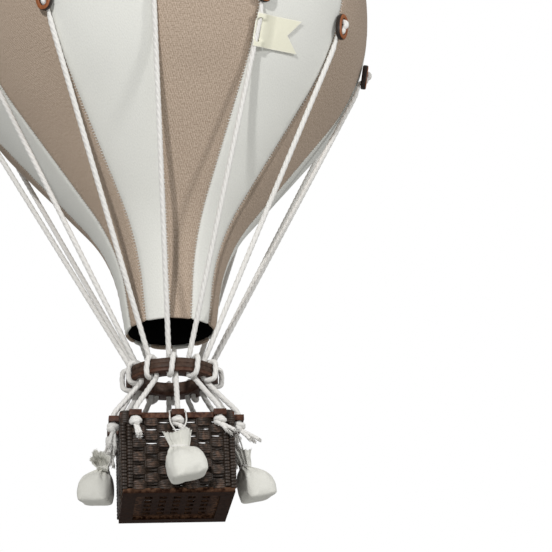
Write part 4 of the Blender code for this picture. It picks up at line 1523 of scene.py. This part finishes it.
def press_out(meshes):
    """Let the filling press the bags' cloth outwards: a cloth simulation with the neck and frill held."""
    copies = []
    for mesh in meshes:
        copy = bpy.data.objects.new(f"filling_{mesh.name}", mesh.copy())
        copy.data.transform(Matrix.Scale(FILLING_SCALE, 4))
        bpy.context.scene.collection.objects.link(copy)
        held = copy.vertex_groups.new(name="held")
        for vertex in mesh.vertices:
            above = (vertex.co.z - MOUTH - BAG_NECK[1] + 0.0060) / 0.0040
            held.add([vertex.index], min(1.0, max(0.0, above)), "REPLACE")
        cloth = copy.modifiers.new("filling", "CLOTH")
        cloth.settings.quality = 6
        cloth.settings.use_pressure = True
        cloth.settings.uniform_pressure_force = 3.0
        cloth.settings.shrink_min = -0.03
        cloth.settings.effector_weights.gravity = 0.0
        cloth.settings.vertex_group_mass = "held"
        cloth.collision_settings.use_collision = False
        cloth.point_cache.frame_start = 1
        cloth.point_cache.frame_end = FILLING_FRAMES
        copies.append(copy)
    for moment in range(1, FILLING_FRAMES + 1):
        bpy.context.scene.frame_set(moment)
    depsgraph = bpy.context.evaluated_depsgraph_get()
    for mesh, copy in zip(meshes, copies):
        pressed = copy.evaluated_get(depsgraph).data
        for vertex, moved in zip(mesh.vertices, pressed.vertices):
            move = moved.co / FILLING_SCALE - vertex.co
            vertex.co += move * min(1.0, FILLING_LIMIT / max(move.length, 1e-9))
    for copy in copies:
        bpy.data.objects.remove(copy)
    bpy.context.scene.frame_set(1)


def frill_lines(mesh, side):
    """Loose threads that stand off the frill's raw edge."""
    draw = random.Random(300 + side)
    lines = []
    for vertex in list(mesh.vertices)[-BAG_AROUND:]:
        for _ in range(2):
            way = Vector((draw.gauss(0, 0.5), draw.gauss(0, 0.5), 1.0)).normalized()
            run = draw.uniform(0.0003, 0.0013)
            bend = Vector((draw.gauss(0, 0.0002), draw.gauss(0, 0.0002), 0.0))
            root = vertex.co - Vector((0.0, 0.0, 0.0003))
            lines.append([(root, 1.0), (root + way * run * 0.6, 0.9), (root + way * run + bend, 0.6)])
    return lines


bag_cloths = [bag_mesh(side, f"bag_cloth_{name}") for side, name in enumerate(SIDES)]
press_out(bag_cloths)
for side, name in enumerate(SIDES):
    fringe = threads.grow(
        f"bag_fringe_{name}", line_curve("fringe_line", frill_lines(bag_cloths[side], side)),
        Radius=BAG_FRINGE, Sides=3, Finish=bag_finish.material,
    )
    add_piece(f"bag_fringe_{name}", fringe, bag_finish, f"bag_{name}")
    bag = add_piece(f"bag_cloth_{name}", bag_cloths[side], bag_finish, f"bag_{name}", 70)
    softness = bag.modifiers.new("softness", "SUBSURF")
    softness.levels = softness.render_levels = 1
    thicken(bag, BAG_CLOTH)
    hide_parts(f"sandbag_{name}")
    facing = side_angle(side)
    knots = [(around(facing, out, height, -across), 1.0) for across, out, height in STRING_LEG]
    knots += [(around(facing, out, height, across), 1.0) for across, out, height in reversed(STRING_LEG)]
    turns = []
    for step in range(41):
        turn = 2 * pi * step / 20
        height = BAG_NECK[1] + 0.0006 * (step / 20 - 1)
        turns.append((around(facing, BAG_NECK[0] + 0.0039 * sin(turn), height, 0.0064 * cos(turn)), 1.0))
    mesh = twist.grow(
        f"string_{name}", line_curve("string_line", [rounded(knots, STRING_STEP), turns]),
        Radius=STRING, Lay=STRING_LAY, Step=STRING_STEP, Finish=rope_finish.material,
    )
    string = add_piece(f"string_{name}", mesh, rope_finish, f"bag_{name}")
    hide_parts(f"bag_string_{name}")


# Tag
# A swallowtail pennant of cream card with a pale cut edge. The rope shows in a slot near its short side
# and passes behind the card's strips above and below the slot. The card is bare.
TAG_HEIGHT = 0.183
TAG_TURN = radians(3)
TAG_LENGTH = 0.041
TAG_WIDTH = 0.024
TAG_NOTCH = 0.011
TAG_THICKNESS = 0.0006
TAG_MARGIN = 0.0030
TAG_SLOT = 0.0088
TAG_SLOT_HALF = 0.0019
TAG_STAND = 0.0046
TAG_EDGE = 0.0006
TAG_ROWS = 60
TAG_COLUMNS = 90

card = Finish("cream_card", 0.6)
card_place = card.place()
pulp = card.cloud(card_place, 500.0, 4.0)
card_tone = card.between(pulp, (0.80, 0.78, 0.62), (0.86, 0.84, 0.69))
card.set("Base Color", card.between(card.attribute("worn"), card_tone, (0.93, 0.91, 0.82)))
card.relief(pulp, 0.00005)
tag_work = bmesh.new()
edge_layer = tag_work.verts.layers.float.new("worn")
card_grid = []
for row in range(TAG_ROWS + 1):
    y = TAG_WIDTH * (row / TAG_ROWS - 0.5)
    reach = TAG_LENGTH - TAG_NOTCH * (1 - abs(y) / (TAG_WIDTH / 2))
    strip = min(1.0, max(0.0, (abs(y) - TAG_SLOT + 0.0030) / 0.0030))
    card_row = []
    for column in range(TAG_COLUMNS + 1):
        x = reach * column / TAG_COLUMNS - TAG_MARGIN
        bulge = 0.0018 * exp(-((x / 0.0060) ** 4)) * strip**2 * (3 - 2 * strip)
        away = min(1.0, max(0.0, (x - 0.003) / 0.013))
        fall = 0.0034 * away**2 * (3 - 2 * away) + 0.8 * (max(x, 0.0) ** 2 + y**2) / (2 * ENVELOPE_RADIUS)
        spot = tag_work.verts.new((x, y, TAG_STAND + bulge - fall))
        inset = min(x + TAG_MARGIN, TAG_WIDTH / 2 - abs(y), (reach - TAG_MARGIN - x) * 0.74)
        spot[edge_layer] = max(0.0, 1.0 - inset / TAG_EDGE)
        card_row.append(spot)
    card_grid.append(card_row)
for lower, upper in zip(card_grid, card_grid[1:]):
    for column in range(TAG_COLUMNS):
        corners = (lower[column], lower[column + 1], upper[column + 1], upper[column])
        middle = sum((corner.co for corner in corners), Vector()) / 4
        if hypot(middle.x, max(abs(middle.y) - TAG_SLOT + TAG_SLOT_HALF, 0.0)) > TAG_SLOT_HALF:
            tag_work.faces.new(corners)
loose = [spot for spot in tag_work.verts if not spot.link_faces]
bmesh.ops.delete(tag_work, geom=loose, context="VERTS")
tag_mesh = to_mesh("tag_card", tag_work)
tag_mesh.transform(surface_frame(seam_angle(TAG_ROPE), TAG_HEIGHT) @ Matrix.Rotation(TAG_TURN, 4, "Z"))
tag = add_piece("tag_card", tag_mesh, card, smooth=35)
thicken(tag, TAG_THICKNESS)
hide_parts("tag")
